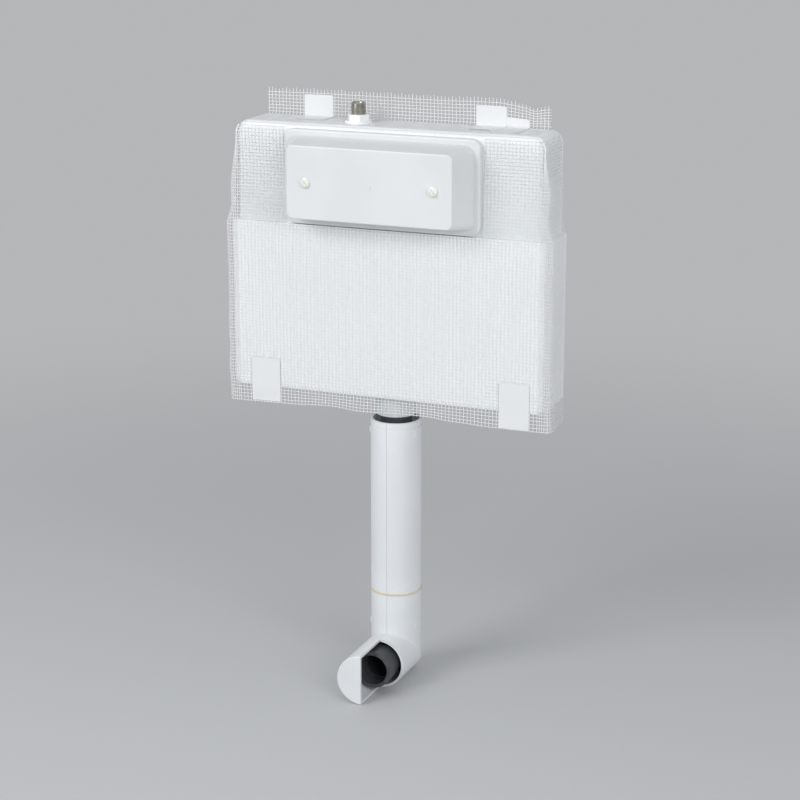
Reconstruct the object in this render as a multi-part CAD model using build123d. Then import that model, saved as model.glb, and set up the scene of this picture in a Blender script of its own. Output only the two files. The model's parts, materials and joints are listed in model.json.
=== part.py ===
from build123d import *
import os
from math import cos, radians, sin

# A slim toilet cistern that is built into a wall and dressed with plaster mesh, with its flush
# pipe and outlet bend inside a protective shell.
# Millimetres. X runs to the right, Y into the wall and Z up. The origin is the middle of the
# tank's flat back, which lies against the wall. A place called "out" is a distance from the wall,
# so its Y is minus that distance.

# Fits
seat_gap = 0.3
running_gap = 0.05
swing_gap = 0.5
cut_overrun = 5.0

# Tank
tank_width = 456.0
tank_height = 374.0
tank_depth = 73.0
tank_wall = 3.0
tank_corner = 18.0
tank_edge = 9.0
tank_inner_edge = 3.5
tank_top = tank_height / 2
tank_bottom = -tank_height / 2
tank_middle_out = tank_depth / 2

# Insulating jacket round the lower tank
jacket_wall = 6.7
jacket_height = 241.0
jacket_corner = 12.0
jacket_edge = 8.0
jacket_half_width = tank_width / 2 + seat_gap + jacket_wall
jacket_front = tank_depth + seat_gap + jacket_wall
jacket_bottom = tank_bottom - seat_gap - jacket_wall
jacket_top = jacket_bottom + jacket_height

# Inspection box over the opening in the front
box_offset = -5.0
box_wall = 2.2
box_base_width = 288.0
box_base_height = 132.0
box_base_corner = 14.0
box_step = 9.0
box_step_edge = 3.0
box_shoulder_width = 270.0
box_shoulder_height = 116.0
box_shoulder_corner = 12.0
box_front_width = 241.0
box_front_height = 101.0
box_front_corner = 9.0
box_front_edge = 2.0
box_depth = 53.7
box_below_tank_top = 6.5
box_notch_gap = 1.0
box_middle_z = tank_top - box_below_tank_top - box_base_height / 2
box_back = tank_depth + seat_gap
box_front = box_back + box_depth
box_pip_radius = 4.0
box_pip_height = 0.6

# Fasteners of the inspection box
box_screw_spacing = 186.0
box_screw_shank_radius = 3.0
box_screw_grip = 26.0
box_screw_head_radius = 7.5
box_screw_head_height = 3.0
box_screw_wing_length = 13.0
box_screw_wing_width = 3.2
box_screw_wing_height = 4.0
box_screw_wing_turn = 55.0
box_screw_places = (box_offset - box_screw_spacing / 2, box_offset + box_screw_spacing / 2)

# Frame in the inspection opening
frame_opening_width = 160.0
frame_opening_height = 100.0
frame_opening_corner = 8.0
frame_side = 31.0
frame_rail = 10.0
frame_corner = 8.0
frame_plate = 3.0
frame_collar_wall = 2.5
frame_collar_length = 9.0
frame_gasket = 1.5
frame_post_radius = 8.0
frame_back = tank_depth + frame_gasket
frame_front = frame_back + frame_plate
frame_width = frame_opening_width + 2 * frame_side
frame_height = frame_opening_height + 2 * frame_rail
frame_post_end = box_front - box_wall - seat_gap
frame_opening_top = box_middle_z + frame_opening_height / 2
collar_width = frame_opening_width + 2 * frame_collar_wall
collar_height = frame_opening_height + 2 * frame_collar_wall
collar_corner = frame_opening_corner + frame_collar_wall

# Screws of the frame
frame_screw_radius = 2.0
frame_screw_head_radius = 3.8
frame_screw_head_height = 2.0
frame_screw_inset = 6.0
frame_screw_reach = 4.0

# Plaster mesh and the tape tabs that hold it
mesh_gap = 0.3
mesh_thickness = 0.6
mesh_pitch = 27.0
mesh_strand = 3.0
mesh_top_flap = 38.0
mesh_top_flap_out = 3.0
mesh_top_flap_inset = 3.0
mesh_bottom_flap = 20.0
mesh_flap_inset = 6.0
mesh_flap_drop = 8.0
mesh_flap_drop_run = 60.0
mesh_side_depth = 72.0
mesh_box_margin = 3.0
mesh_inlet_gap = 1.0
mesh_inlet_border = 5.0
mesh_back = jacket_front + mesh_gap
mesh_front = mesh_back + mesh_thickness
mesh_half_width = jacket_half_width + mesh_gap + mesh_thickness
mesh_bottom = jacket_bottom - mesh_bottom_flap
mesh_flap_half = mesh_half_width - mesh_flap_inset
mesh_over_low = tank_top + mesh_gap
mesh_over_high = mesh_over_low + mesh_thickness
mesh_over_half = tank_width / 2 - tank_corner
mesh_side_top = mesh_over_low - (mesh_half_width - mesh_over_half)
mesh_top = mesh_over_high + mesh_top_flap
mesh_top_flap_half = mesh_over_half - mesh_top_flap_inset
mesh_top_flap_front = mesh_top_flap_out + mesh_thickness
mesh_cut_left = box_offset - box_base_width / 2 - mesh_box_margin
mesh_cut_right = box_offset + box_base_width / 2 + mesh_box_margin
mesh_cut_low = box_middle_z - box_base_height / 2 - mesh_box_margin
tab_thickness = 0.4
tab_width = 44.0
tab_length = 80.0
tab_corner = 1.0
tab_upper_x_shares = (-0.287, 0.277, 0.349)
tab_upper_reach_shares = (0.78, 0.71, 0.36)
tab_upper_layers = (0, 1, 0)
tab_lower_x_shares = (-0.402, 0.418)
tab_lower_reach_shares = (0.92, 0.97)

# Water inlet in the top
inlet_x = -56.5
inlet_radius = 10.475
inlet_undercut = 0.25
inlet_bore_radius = 7.0
inlet_above_tank = 28.4
inlet_below_tank = 27.0
inlet_collar_radius = 16.0
inlet_collar_height = 4.0
inlet_gasket_height = 2.0
inlet_washer_radius = 18.7
inlet_washer_height = 3.0
inlet_washer_edge = 0.8
inlet_nut_across_flats = 27.0
inlet_nut_height = 9.0
inlet_nut_edge = 0.8
inlet_shank_radius = inlet_radius - inlet_undercut
inlet_end = tank_top + inlet_above_tank
inlet_inner_end = tank_top - inlet_below_tank
inlet_nut_top = tank_top + inlet_washer_height + inlet_nut_height
inlet_collar_top = tank_top - tank_wall - inlet_gasket_height

# Stop valve below the inlet
stop_body_radius = 13.5
stop_thread_length = 12.0
stop_body_length = 54.0
stop_branch_drop = 28.0
stop_branch_radius = 8.0
stop_branch_bore_radius = 5.0
stop_branch_length = 34.5
stop_boss_radius = 9.0
stop_boss_length = 24.0
spindle_radius = 4.0
spindle_inner_out = 41.0
spindle_length = 31.0
handle_hub_radius = 8.0
handle_hub_length = 9.0
handle_bar_length = 30.0
handle_bar_width = 8.0
handle_bar_edge = 2.0
stop_top = inlet_inner_end + stop_thread_length
stop_bottom = stop_top - stop_body_length
stop_branch_z = inlet_inner_end - stop_branch_drop
stop_branch_end = inlet_x - stop_branch_length
stop_boss_out = tank_middle_out + stop_boss_length

# Fill valve with its float
fill_radius = 14.0
fill_height = 46.0
fill_below_branch = 28.0
fill_branch_length = 31.0
fill_chamber_radius = 7.0
fill_chamber_height = 22.0
fill_cap_radius = 16.0
fill_cap_height = 6.0
fill_pin_radius = 2.5
fill_pin_length = 24.0
union_across_flats = 24.0
union_length = 14.0
refill_wall = 1.5
refill_insertion = 8.0
refill_above_floor = 34.0
ear_height = 12.5
ear_length = 9.0
ear_thickness = 2.5
ear_spacing = 14.0
pivot_pin_radius = 1.5
pivot_height = 8.0
pivot_side = 10.0
arm_hub_radius = 4.0
arm_hub_width = 13.0
arm_width = 10.0
arm_height = 6.0
arm_end_share = 5 / 28
arm_lobe_radius = 3.0
arm_lobe_drop = 1.0
arm_pad_share = 17 / 28
float_side_gap = 9.0
float_depth = 50.0
float_height = 80.0
float_edge = 5.0
float_below_pivot = 8.0
float_inner_reach = 28.0
float_drop_angle = 14.0
fill_x = stop_branch_end - fill_branch_length
fill_bottom = stop_branch_z - fill_below_branch
fill_top = fill_bottom + fill_height
fill_cap_top = fill_top + fill_cap_height
pivot_x = fill_x - pivot_side
pivot_z = fill_cap_top + pivot_height
float_left = -tank_width / 2 + tank_wall + float_side_gap
float_right = pivot_x - float_inner_reach
float_width = float_right - float_left
arm_end = float_left + arm_end_share * float_width
arm_pad_end = arm_end + arm_pad_share * float_width
refill_bottom = tank_bottom + tank_wall + refill_above_floor

# Flush valve in the middle of the floor
pipe_out = 38.5
neck_radius = 25.0
neck_bore_radius = 21.0
neck_below_tank = 29.0
neck_socket_depth = 9.5
seat_flange_radius = 27.5
seat_flange_height = 4.0
seat_lip_height = 5.0
seat_lip_wall = 2.0
seat_gasket_height = 3.0
locknut_radius = 31.0
locknut_height = 6.0
locknut_notches = 12
locknut_notch_radius = 2.0
valve_seal_radius = 23.5
valve_seal_height = 3.0
lift_tube_radius = 15.0
lift_tube_wall = 2.0
lift_tube_below_seal = 4.5
lift_tube_keeper_radius = 18.0
lift_disc_radius = 22.0
lift_disc_height = 4.0
lift_tube_length = 224.0
yoke_height = 6.0
yoke_width = 9.0
cage_radius = 27.2
cage_wall = 2.2
cage_height = 157.0
cage_top_plate = 4.0
cage_window_width = 26.0
cage_window_height = 44.0
cage_window_rise = 5.0
cage_upper_window_height = 60.0
cage_window_count = 4
cage_window_turn = 45.0
sleeve_wall = 2.2
sleeve_height = 44.0
sleeve_ear_height = 4.0
flush_rod_radius = 2.5
flush_rod_side = 20.0
flush_rod_head_radius = 2.0
flush_rod_head_length = 12.0
gasket_floor = tank_bottom + tank_wall
seat_flange_bottom = gasket_floor + seat_gasket_height
seat_flange_top = seat_flange_bottom + seat_flange_height
seat_lip_top = seat_flange_top + seat_lip_height
neck_bottom = tank_bottom - neck_below_tank
valve_seal_bottom = seat_lip_top + seat_gap
valve_seal_top = valve_seal_bottom + valve_seal_height
lift_tube_bottom = valve_seal_bottom - lift_tube_below_seal
lift_tube_top = lift_tube_bottom + lift_tube_length
yoke_bottom = lift_tube_top - yoke_height
cage_top = seat_flange_top + cage_height
sleeve_bottom = cage_top + seat_gap
sleeve_top = sleeve_bottom + sleeve_height

# Flush levers on their pin in the inspection opening
lever_pivot_out = 62.0
lever_pivot_drop = 14.5
lever_pin_radius = 2.0
lever_hub_radius = 5.5
lever_width = 12.5
lever_arm_height = 6.0
lever_arm_past_rod = 6.0
lever_fork_clearance = 0.7
lever_fork_root = 6.0
lever_push_length = 34.0
lever_push_thickness = 5.0
lever_pad_width = 15.0
lever_pad_height = 12.0
lever_pad_thickness = 2.5
bracket_half_width = 40.0
bracket_bar_height = 6.5
bracket_back = 56.0
bracket_depth = 15.0
bracket_cheek = 4.0
bracket_cheek_inset = 2.0
bracket_cheek_depth = 12.0
bracket_below_pivot = 7.0
bracket_web = 8.0
lever_pivot_z = frame_opening_top - lever_pivot_drop

# Outlet nut and flush pipe
nut_radius = 27.2
nut_height = 27.0
nut_rib_radius = 0.9
nut_rib_count = 40
nut_below_jacket = 1.0
pipe_radius = 22.5
pipe_wall = 2.0
pipe_seal_height = 2.0
pipe_length = 298.0
bend_socket_wall = 3.0
bend_socket_length = 30.0
bend_socket_stop = 2.0
bend_seal_height = 4.0
bend_seal_depth = 1.2
bend_seal_inset = 8.0
bend_radius = 45.0
bend_turn = 90.0
outlet_drop = 387.0
outlet_reach = 88.0
outlet_socket_radius = 27.0
outlet_socket_length = 33.0
outlet_seal_radius = 24.8
outlet_bore_radius = 22.0
outlet_seal_length = 26.0
outlet_seal_flange = 2.0
nut_top = jacket_bottom - nut_below_jacket
nut_bottom = nut_top - nut_height
pipe_seal_top = neck_bottom
pipe_seal_bottom = pipe_seal_top - pipe_seal_height
pipe_top = neck_bottom + neck_socket_depth - seat_gap
pipe_bottom = pipe_top - pipe_length
outlet_z = jacket_bottom - outlet_drop
outlet_out = pipe_out + outlet_reach
bend_socket_bottom = pipe_bottom - bend_socket_stop
bend_socket_top = pipe_bottom + bend_socket_length
bend_start_z = outlet_z + bend_radius
bend_end_out = pipe_out + bend_radius
outlet_seal_front = outlet_out + outlet_seal_flange

# Protective shell of the pipe and the bend
shell_radius = 36.5
shell_wall = 3.5
shell_seam = 0.3
shell_rim_drop = 35.0
shell_groove_depth = 0.8
shell_groove_width = 2.4
shell_groove_drop = 8.0
shell_joint_drop = 291.0
shell_web = 2.5
shell_web_inset = 18.0
shell_rim_reach = 62.5
shell_lug_height = 8.0
shell_lug_width = 3.5
shell_lug_proud = 1.3
shell_lug_angle = 70.0
shell_lug_drop = 17.5
shell_lug_rise = 45.0
band_height = 3.0
band_proud = 1.1
guard_reach = 133.5
guard_cap = 3.5
guard_edge = 1.5
shell_rim = jacket_bottom - shell_rim_drop
shell_joint = jacket_bottom - shell_joint_drop
shell_rim_out = pipe_out + shell_rim_reach
guard_front = pipe_out + guard_reach


# Shapes that many pieces use

def rod_up(radius, x, out, low, high):
    return Pos(x, -out, (low + high) / 2) * Cylinder(radius, high - low)


def rod_out(radius, x, z, near, far):
    return Pos(x, -(near + far) / 2, z) * Rot(90, 0, 0) * Cylinder(radius, far - near)


def rod_across(radius, out, z, left, right):
    return Pos((left + right) / 2, -out, z) * Rot(0, 90, 0) * Cylinder(radius, right - left)


def ring_up(radius, bore, x, out, low, high):
    hole = rod_up(bore, x, out, low - cut_overrun, high + cut_overrun)
    return rod_up(radius, x, out, low, high) - hole


def ring_out(radius, bore, x, z, near, far):
    hole = rod_out(bore, x, z, near - cut_overrun, far + cut_overrun)
    return rod_out(radius, x, z, near, far) - hole


def block(left, right, near, far, low, high):
    middle = Pos((left + right) / 2, -(near + far) / 2, (low + high) / 2)
    return middle * Box(right - left, far - near, high - low)


def slab(width, height, corner, near, far, x=0, z=0):
    outline = Plane.XZ.offset(near) * Pos(x, z) * RectangleRounded(width, height, corner)
    return extrude(outline, far - near)


def hexagon_up(across_flats, x, out, low, high):
    outline = Plane.XY.offset(low) * Pos(x, -out)
    outline = outline * RegularPolygon(across_flats / 2, 6, major_radius=False)
    return extrude(outline, high - low)


def front_edges(solid):
    return solid.edges().group_by(Axis.Y)[0]


def half(solid, side):
    plane = Plane(origin=(side * shell_seam / 2, 0, 0), z_dir=(side, 0, 0))
    return split(solid, bisect_by=plane, keep=Keep.TOP)


# Tank, jacket and mesh. The mesh is one sheet on the real cistern, and is parted here at its
# bends and round the box.

def make_tank():
    outer = slab(tank_width, tank_height, tank_corner, 0, tank_depth)
    outer = fillet(front_edges(outer), tank_edge)
    inner_corner = tank_corner - tank_wall
    inner_width = tank_width - 2 * tank_wall
    inner_height = tank_height - 2 * tank_wall
    inner = slab(inner_width, inner_height, inner_corner, tank_wall, tank_depth - tank_wall)
    inner = fillet(front_edges(inner), tank_inner_edge)
    opening = slab(
        collar_width + 2 * seat_gap, collar_height + 2 * seat_gap, collar_corner + seat_gap,
        tank_depth - tank_wall - cut_overrun, tank_depth + cut_overrun, box_offset, box_middle_z)
    inlet = rod_up(
        inlet_shank_radius + seat_gap, inlet_x, tank_middle_out,
        tank_top - tank_wall - cut_overrun, tank_top + cut_overrun)
    outlet = rod_up(
        neck_radius + seat_gap, 0, pipe_out,
        tank_bottom - cut_overrun, tank_bottom + tank_wall + cut_overrun)
    tank = outer - inner - opening - inlet - outlet
    for x, z in frame_screw_places():
        tank -= rod_out(
            frame_screw_radius + running_gap, x, z,
            tank_depth - tank_wall - cut_overrun, tank_depth + cut_overrun)
    return tank


def make_jacket():
    top_overrun = 2 * jacket_corner
    height = jacket_height + top_overrun
    middle = jacket_bottom + height / 2
    outer = slab(2 * jacket_half_width, height, jacket_corner, 0, jacket_front, 0, middle)
    outer = fillet(front_edges(outer), jacket_edge)
    tank_space = slab(
        tank_width + 2 * seat_gap, tank_height + 2 * seat_gap, tank_corner + seat_gap,
        -cut_overrun, tank_depth + seat_gap)
    tank_space = fillet(front_edges(tank_space), tank_edge)
    above = block(
        -jacket_half_width - cut_overrun, jacket_half_width + cut_overrun,
        -cut_overrun, jacket_front + cut_overrun, jacket_top, jacket_top + height)
    outlet = rod_up(
        locknut_radius + 2 * swing_gap, 0, pipe_out,
        jacket_bottom - cut_overrun, tank_bottom + cut_overrun)
    notch = slab(
        box_base_width + 2 * box_notch_gap, box_base_height + 2 * box_notch_gap,
        box_base_corner + box_notch_gap, tank_depth, jacket_front + cut_overrun,
        box_offset, box_middle_z)
    return outer - tank_space - above - outlet - notch


def net_places(low_x, high_x, low_z, high_z):
    # The middles and the size of the gaps that fill one field of the net.
    columns = max(1, int((high_x - low_x) // mesh_pitch))
    rows = max(1, int((high_z - low_z) // mesh_pitch))
    step_x = (high_x - low_x) / columns
    step_z = (high_z - low_z) / rows
    size = (step_x - mesh_strand, step_z - mesh_strand)
    return [
        (low_x + step_x * (column + 1 / 2), low_z + step_z * (row + 1 / 2), *size)
        for column in range(columns) for row in range(rows)]


def holed(sheet, gaps):
    return sheet - [Pos(x, z) * Rectangle(width, height) for x, z, width, height in gaps]


def net_piece(plane, outline, fields, hole=None):
    gaps = [place for field in fields for place in net_places(*field)]
    sheet = holed(make_face(Polyline(*outline, close=True)), gaps)
    if hole:
        sheet -= hole
    return extrude(plane * sheet, mesh_thickness)


def front_net(outline, fields):
    return net_piece(Plane.XZ.offset(mesh_back), outline, fields)


def rectangle_of(low_x, high_x, low_z, high_z):
    return ((low_x, low_z), (high_x, low_z), (high_x, high_z), (low_x, high_z))


def make_mesh_below_box():
    body = (-mesh_half_width, mesh_half_width, jacket_bottom, mesh_cut_low)
    flap = (-mesh_flap_half, mesh_flap_half, mesh_bottom, jacket_bottom)
    outline = (
        (-mesh_half_width, mesh_cut_low), (-mesh_half_width, jacket_bottom),
        (-mesh_flap_half, jacket_bottom), (-mesh_flap_half, mesh_bottom),
        (mesh_flap_half, mesh_bottom), (mesh_flap_half, jacket_bottom),
        (mesh_half_width, jacket_bottom), (mesh_half_width, mesh_cut_low))
    return front_net(outline, (body, flap))


def make_mesh_beside_box(side):
    inner = mesh_cut_left if side < 0 else mesh_cut_right
    corner = side * mesh_over_half
    outer = side * mesh_half_width
    outline = (
        (inner, mesh_cut_low), (outer, mesh_cut_low), (outer, mesh_side_top),
        (corner, mesh_over_low), (inner, mesh_over_low))
    tall = (min(inner, corner), max(inner, corner), mesh_cut_low, mesh_over_low)
    low = (min(corner, outer), max(corner, outer), mesh_cut_low, mesh_side_top)
    return front_net(outline, (tall, low))


def make_mesh_over_top():
    # The inlet stands through a hole with a plain border.
    border = inlet_washer_radius + mesh_inlet_gap + mesh_inlet_border
    near, far = -mesh_front, -mesh_top_flap_out
    fields = (
        (-mesh_over_half, inlet_x - border, near, far),
        (inlet_x + border, mesh_over_half, near, far))
    hole = Pos(inlet_x, -tank_middle_out) * Circle(inlet_washer_radius + mesh_inlet_gap)
    outline = rectangle_of(-mesh_over_half, mesh_over_half, near, far)
    return net_piece(Plane.XY.offset(mesh_over_low), outline, fields, hole)


def make_mesh_top_flap():
    drop_start = mesh_top_flap_half - mesh_flap_drop_run
    outline = (
        (-mesh_top_flap_half, mesh_over_high), (mesh_top_flap_half, mesh_over_high),
        (mesh_top_flap_half, mesh_top - mesh_flap_drop), (drop_start, mesh_top),
        (-mesh_top_flap_half, mesh_top))
    full = (-mesh_top_flap_half, drop_start, mesh_over_high, mesh_top)
    low = (drop_start, mesh_top_flap_half, mesh_over_high, mesh_top - mesh_flap_drop)
    return net_piece(Plane.XZ.offset(mesh_top_flap_out), outline, (full, low))


def make_mesh_side(side):
    # The sheet is bent round the tank at both ends of its front.
    side_end = mesh_side_depth - mesh_back
    outline = rectangle_of(-mesh_back, side_end, mesh_bottom, mesh_side_top)
    fields = (
        (-mesh_back, side_end, mesh_bottom, jacket_bottom),
        (-mesh_back, side_end, jacket_bottom, mesh_side_top))
    inner = mesh_half_width - mesh_thickness
    left = inner if side > 0 else -mesh_half_width
    return net_piece(Plane.YZ.offset(left), outline, fields)


def make_tabs():
    # An upper tab stands on the flap and is bent forward over the top.
    tabs = []
    upper = zip(tab_upper_x_shares, tab_upper_reach_shares, tab_upper_layers)
    for x_share, reach_share, layer in upper:
        x = x_share * tank_width
        reach = reach_share * mesh_top_flap
        near = mesh_top_flap_front + layer * tab_thickness
        low = mesh_over_high + layer * tab_thickness
        top = mesh_over_high + reach
        tab = slab(
            tab_width, top - low, tab_corner, near, near + tab_thickness, x, (top + low) / 2)
        tab += block(
            x - tab_width / 2, x + tab_width / 2, near, near + tab_length - reach,
            low, low + tab_thickness)
        tabs.append(tab)
    for x_share, reach_share in zip(tab_lower_x_shares, tab_lower_reach_shares):
        bottom = jacket_bottom - reach_share * mesh_bottom_flap
        tabs.append(slab(
            tab_width, tab_length, tab_corner, mesh_front, mesh_front + tab_thickness,
            x_share * tank_width, bottom + tab_length / 2))
    return Compound([tab.solid() for tab in tabs])


# Inspection box, its screws and the frame behind it

def drafted(back_size, front_size, back_corner, front_corner, near, far):
    place = Pos(box_offset, box_middle_z)
    back = Plane.XZ.offset(near) * place * RectangleRounded(*back_size, back_corner)
    front = Plane.XZ.offset(far) * place * RectangleRounded(*front_size, front_corner)
    return loft([back, front])


def make_inspection_box():
    shoulder = box_back + box_step
    base = slab(
        box_base_width, box_base_height, box_base_corner, box_back, shoulder,
        box_offset, box_middle_z)
    base = fillet(front_edges(base), box_step_edge)
    cover = drafted(
        (box_shoulder_width, box_shoulder_height), (box_front_width, box_front_height),
        box_shoulder_corner, box_front_corner, shoulder, box_front)
    cover = fillet(front_edges(cover), box_front_edge)
    base_hollow = slab(
        box_base_width - 2 * box_wall, box_base_height - 2 * box_wall,
        box_base_corner - box_wall, box_back - cut_overrun, shoulder - box_wall,
        box_offset, box_middle_z)
    hollow = drafted(
        (box_shoulder_width - 2 * box_wall, box_shoulder_height - 2 * box_wall),
        (box_front_width - 2 * box_wall, box_front_height - 2 * box_wall),
        box_shoulder_corner - box_wall, box_front_corner - box_wall,
        shoulder - box_wall - seat_gap, box_front - box_wall)
    pip = rod_out(
        box_pip_radius, box_offset, box_middle_z, box_front - box_wall / 2,
        box_front + box_pip_height)
    cover = base + cover + pip - base_hollow - hollow
    for x in box_screw_places:
        cover -= rod_out(
            box_screw_shank_radius + swing_gap, x, box_middle_z,
            box_front - box_wall - cut_overrun, box_front + cut_overrun)
    return cover


def make_box_screw(x):
    shank = rod_out(
        box_screw_shank_radius, x, box_middle_z, box_front - box_screw_grip, box_front)
    head_front = box_front + box_screw_head_height
    head = rod_out(box_screw_head_radius, x, box_middle_z, box_front, head_front)
    wing = Pos(x, 0, box_middle_z) * Rot(0, box_screw_wing_turn, 0) * block(
        -box_screw_wing_length / 2, box_screw_wing_length / 2,
        box_front, head_front + box_screw_wing_height,
        -box_screw_wing_width / 2, box_screw_wing_width / 2)
    return shank + head + wing


def frame_screw_places():
    reach_x = frame_width / 2 - frame_screw_inset
    reach_z = frame_height / 2 - frame_screw_inset
    return [
        (box_offset + side * reach_x, box_middle_z + level * reach_z)
        for side in (-1, 1) for level in (-1, 1)]


def frame_outline(near, far):
    return slab(frame_width, frame_height, frame_corner, near, far, box_offset, box_middle_z)


def make_access_frame():
    frame = frame_outline(frame_back, frame_front)
    frame += slab(
        collar_width, collar_height, collar_corner, frame_front - frame_plate - frame_collar_length,
        frame_front, box_offset, box_middle_z)
    for x in box_screw_places:
        frame += rod_out(frame_post_radius, x, box_middle_z, frame_back, frame_post_end)
    frame -= slab(
        frame_opening_width, frame_opening_height, frame_opening_corner,
        frame_back - frame_collar_length - cut_overrun, frame_front + cut_overrun,
        box_offset, box_middle_z)
    for x in box_screw_places:
        frame -= rod_out(
            box_screw_shank_radius + running_gap, x, box_middle_z,
            box_front - box_screw_grip - swing_gap, box_front + cut_overrun)
    for x, z in frame_screw_places():
        frame -= rod_out(
            frame_screw_radius + running_gap, x, z, frame_back - cut_overrun,
            frame_front + cut_overrun)
    return frame


def make_access_gasket():
    gasket = frame_outline(tank_depth, frame_back)
    gasket -= slab(
        collar_width + 2 * seat_gap, collar_height + 2 * seat_gap, collar_corner + seat_gap,
        tank_depth - cut_overrun, frame_back + cut_overrun, box_offset, box_middle_z)
    for x, z in frame_screw_places():
        gasket -= rod_out(
            frame_screw_radius + running_gap, x, z, tank_depth - cut_overrun,
            frame_back + cut_overrun)
    return gasket


def make_frame_screws():
    screws = []
    for x, z in frame_screw_places():
        shank = rod_out(
            frame_screw_radius, x, z, tank_depth - tank_wall - frame_screw_reach, frame_front)
        head = rod_out(
            frame_screw_head_radius, x, z, frame_front, frame_front + frame_screw_head_height)
        screws.append((shank + head).solid())
    return Compound(screws)


# Inlet and stop valve

def make_inlet_nipple():
    nipple = rod_up(inlet_radius, inlet_x, tank_middle_out, inlet_nut_top, inlet_end)
    nipple += rod_up(
        inlet_shank_radius, inlet_x, tank_middle_out, inlet_inner_end, inlet_nut_top)
    nipple += rod_up(
        inlet_collar_radius, inlet_x, tank_middle_out,
        inlet_collar_top - inlet_collar_height, inlet_collar_top)
    return nipple - rod_up(
        inlet_bore_radius, inlet_x, tank_middle_out,
        inlet_inner_end - cut_overrun, inlet_end + cut_overrun)


def make_inlet_gasket():
    return ring_up(
        inlet_collar_radius, inlet_shank_radius + seat_gap, inlet_x, tank_middle_out,
        inlet_collar_top, inlet_collar_top + inlet_gasket_height)


def make_inlet_washer():
    top = tank_top + inlet_washer_height
    washer = rod_up(inlet_washer_radius, inlet_x, tank_middle_out, tank_top, top)
    washer = fillet(washer.edges().group_by(Axis.Z)[-1], inlet_washer_edge)
    return washer - rod_up(
        inlet_shank_radius + seat_gap, inlet_x, tank_middle_out,
        tank_top - cut_overrun, top + cut_overrun)


def make_inlet_nut():
    low = tank_top + inlet_washer_height
    nut = hexagon_up(inlet_nut_across_flats, inlet_x, tank_middle_out, low, inlet_nut_top)
    nut = fillet(nut.edges().group_by(Axis.Z)[-1], inlet_nut_edge)
    return nut - rod_up(
        inlet_shank_radius + running_gap, inlet_x, tank_middle_out,
        low - cut_overrun, inlet_nut_top + cut_overrun)


def make_stop_valve_body():
    body = rod_up(stop_body_radius, inlet_x, tank_middle_out, stop_bottom, stop_top)
    body += rod_across(
        stop_branch_radius, tank_middle_out, stop_branch_z, stop_branch_end, inlet_x)
    body += rod_out(stop_boss_radius, inlet_x, stop_branch_z, tank_middle_out, stop_boss_out)
    body -= rod_up(
        inlet_shank_radius + running_gap, inlet_x, tank_middle_out, inlet_inner_end,
        stop_top + cut_overrun)
    body -= rod_up(
        stop_branch_bore_radius, inlet_x, tank_middle_out, stop_branch_z,
        inlet_inner_end + cut_overrun)
    body -= rod_across(
        stop_branch_bore_radius, tank_middle_out, stop_branch_z,
        stop_branch_end - cut_overrun, inlet_x)
    body -= rod_out(
        spindle_radius + running_gap, inlet_x, stop_branch_z, tank_middle_out,
        stop_boss_out + cut_overrun)
    return body


def make_stop_valve_spindle():
    return rod_out(
        spindle_radius, inlet_x, stop_branch_z, spindle_inner_out,
        spindle_inner_out + spindle_length)


def make_stop_valve_handle():
    near = stop_boss_out + swing_gap
    far = near + handle_hub_length
    hub = rod_out(handle_hub_radius, inlet_x, stop_branch_z, near, far)
    bar = block(
        inlet_x - handle_bar_length / 2, inlet_x + handle_bar_length / 2, near + swing_gap, far,
        stop_branch_z - handle_bar_width / 2, stop_branch_z + handle_bar_width / 2)
    bar = fillet(bar.edges().filter_by(Axis.Y), handle_bar_edge)
    spindle_hole = rod_out(
        spindle_radius, inlet_x, stop_branch_z, near - cut_overrun,
        spindle_inner_out + spindle_length)
    return hub + bar - spindle_hole


# Fill valve

def make_union_nut():
    plane = Plane.YZ.offset(stop_branch_end - union_length / 2)
    outline = plane * Pos(-tank_middle_out, stop_branch_z)
    outline = outline * RegularPolygon(union_across_flats / 2, 6, major_radius=False)
    return extrude(outline, union_length) - rod_across(
        stop_branch_radius + running_gap, tank_middle_out, stop_branch_z,
        stop_branch_end - union_length, stop_branch_end + union_length)


def make_fill_valve_body():
    body = rod_up(fill_radius, fill_x, tank_middle_out, fill_bottom, fill_top)
    body += rod_across(
        stop_branch_radius, tank_middle_out, stop_branch_z, fill_x, stop_branch_end)
    body -= rod_up(
        fill_chamber_radius + running_gap, fill_x, tank_middle_out,
        fill_bottom - cut_overrun, fill_bottom + fill_chamber_height)
    body -= rod_across(
        stop_branch_bore_radius, tank_middle_out, stop_branch_z, fill_x,
        stop_branch_end + cut_overrun)
    body -= rod_up(
        fill_pin_radius + running_gap, fill_x, tank_middle_out,
        fill_bottom + fill_chamber_height - cut_overrun, fill_top + cut_overrun)
    return body


def make_fill_valve_cap():
    cap = rod_up(fill_cap_radius, fill_x, tank_middle_out, fill_top, fill_cap_top)
    cap -= rod_up(
        fill_pin_radius + running_gap, fill_x, tank_middle_out,
        fill_top - cut_overrun, fill_cap_top + cut_overrun)
    for side in (-1, 1):
        inner = tank_middle_out + side * ear_spacing / 2
        outer = inner + side * ear_thickness
        cap += block(
            pivot_x - ear_length / 2, pivot_x + ear_length / 2, min(inner, outer),
            max(inner, outer), fill_cap_top, fill_cap_top + ear_height)
    return cap - rod_out(
        pivot_pin_radius, pivot_x, pivot_z,
        tank_middle_out - ear_spacing, tank_middle_out + ear_spacing)


def make_pivot_pin():
    reach = ear_spacing / 2 + ear_thickness
    return rod_out(
        pivot_pin_radius, pivot_x, pivot_z, tank_middle_out - reach, tank_middle_out + reach)


def dropped(piece):
    # The arm hangs down in an empty cistern.
    pivot = Axis((pivot_x, -tank_middle_out, pivot_z), (0, 1, 0))
    return piece.rotate(pivot, -float_drop_angle)


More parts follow.
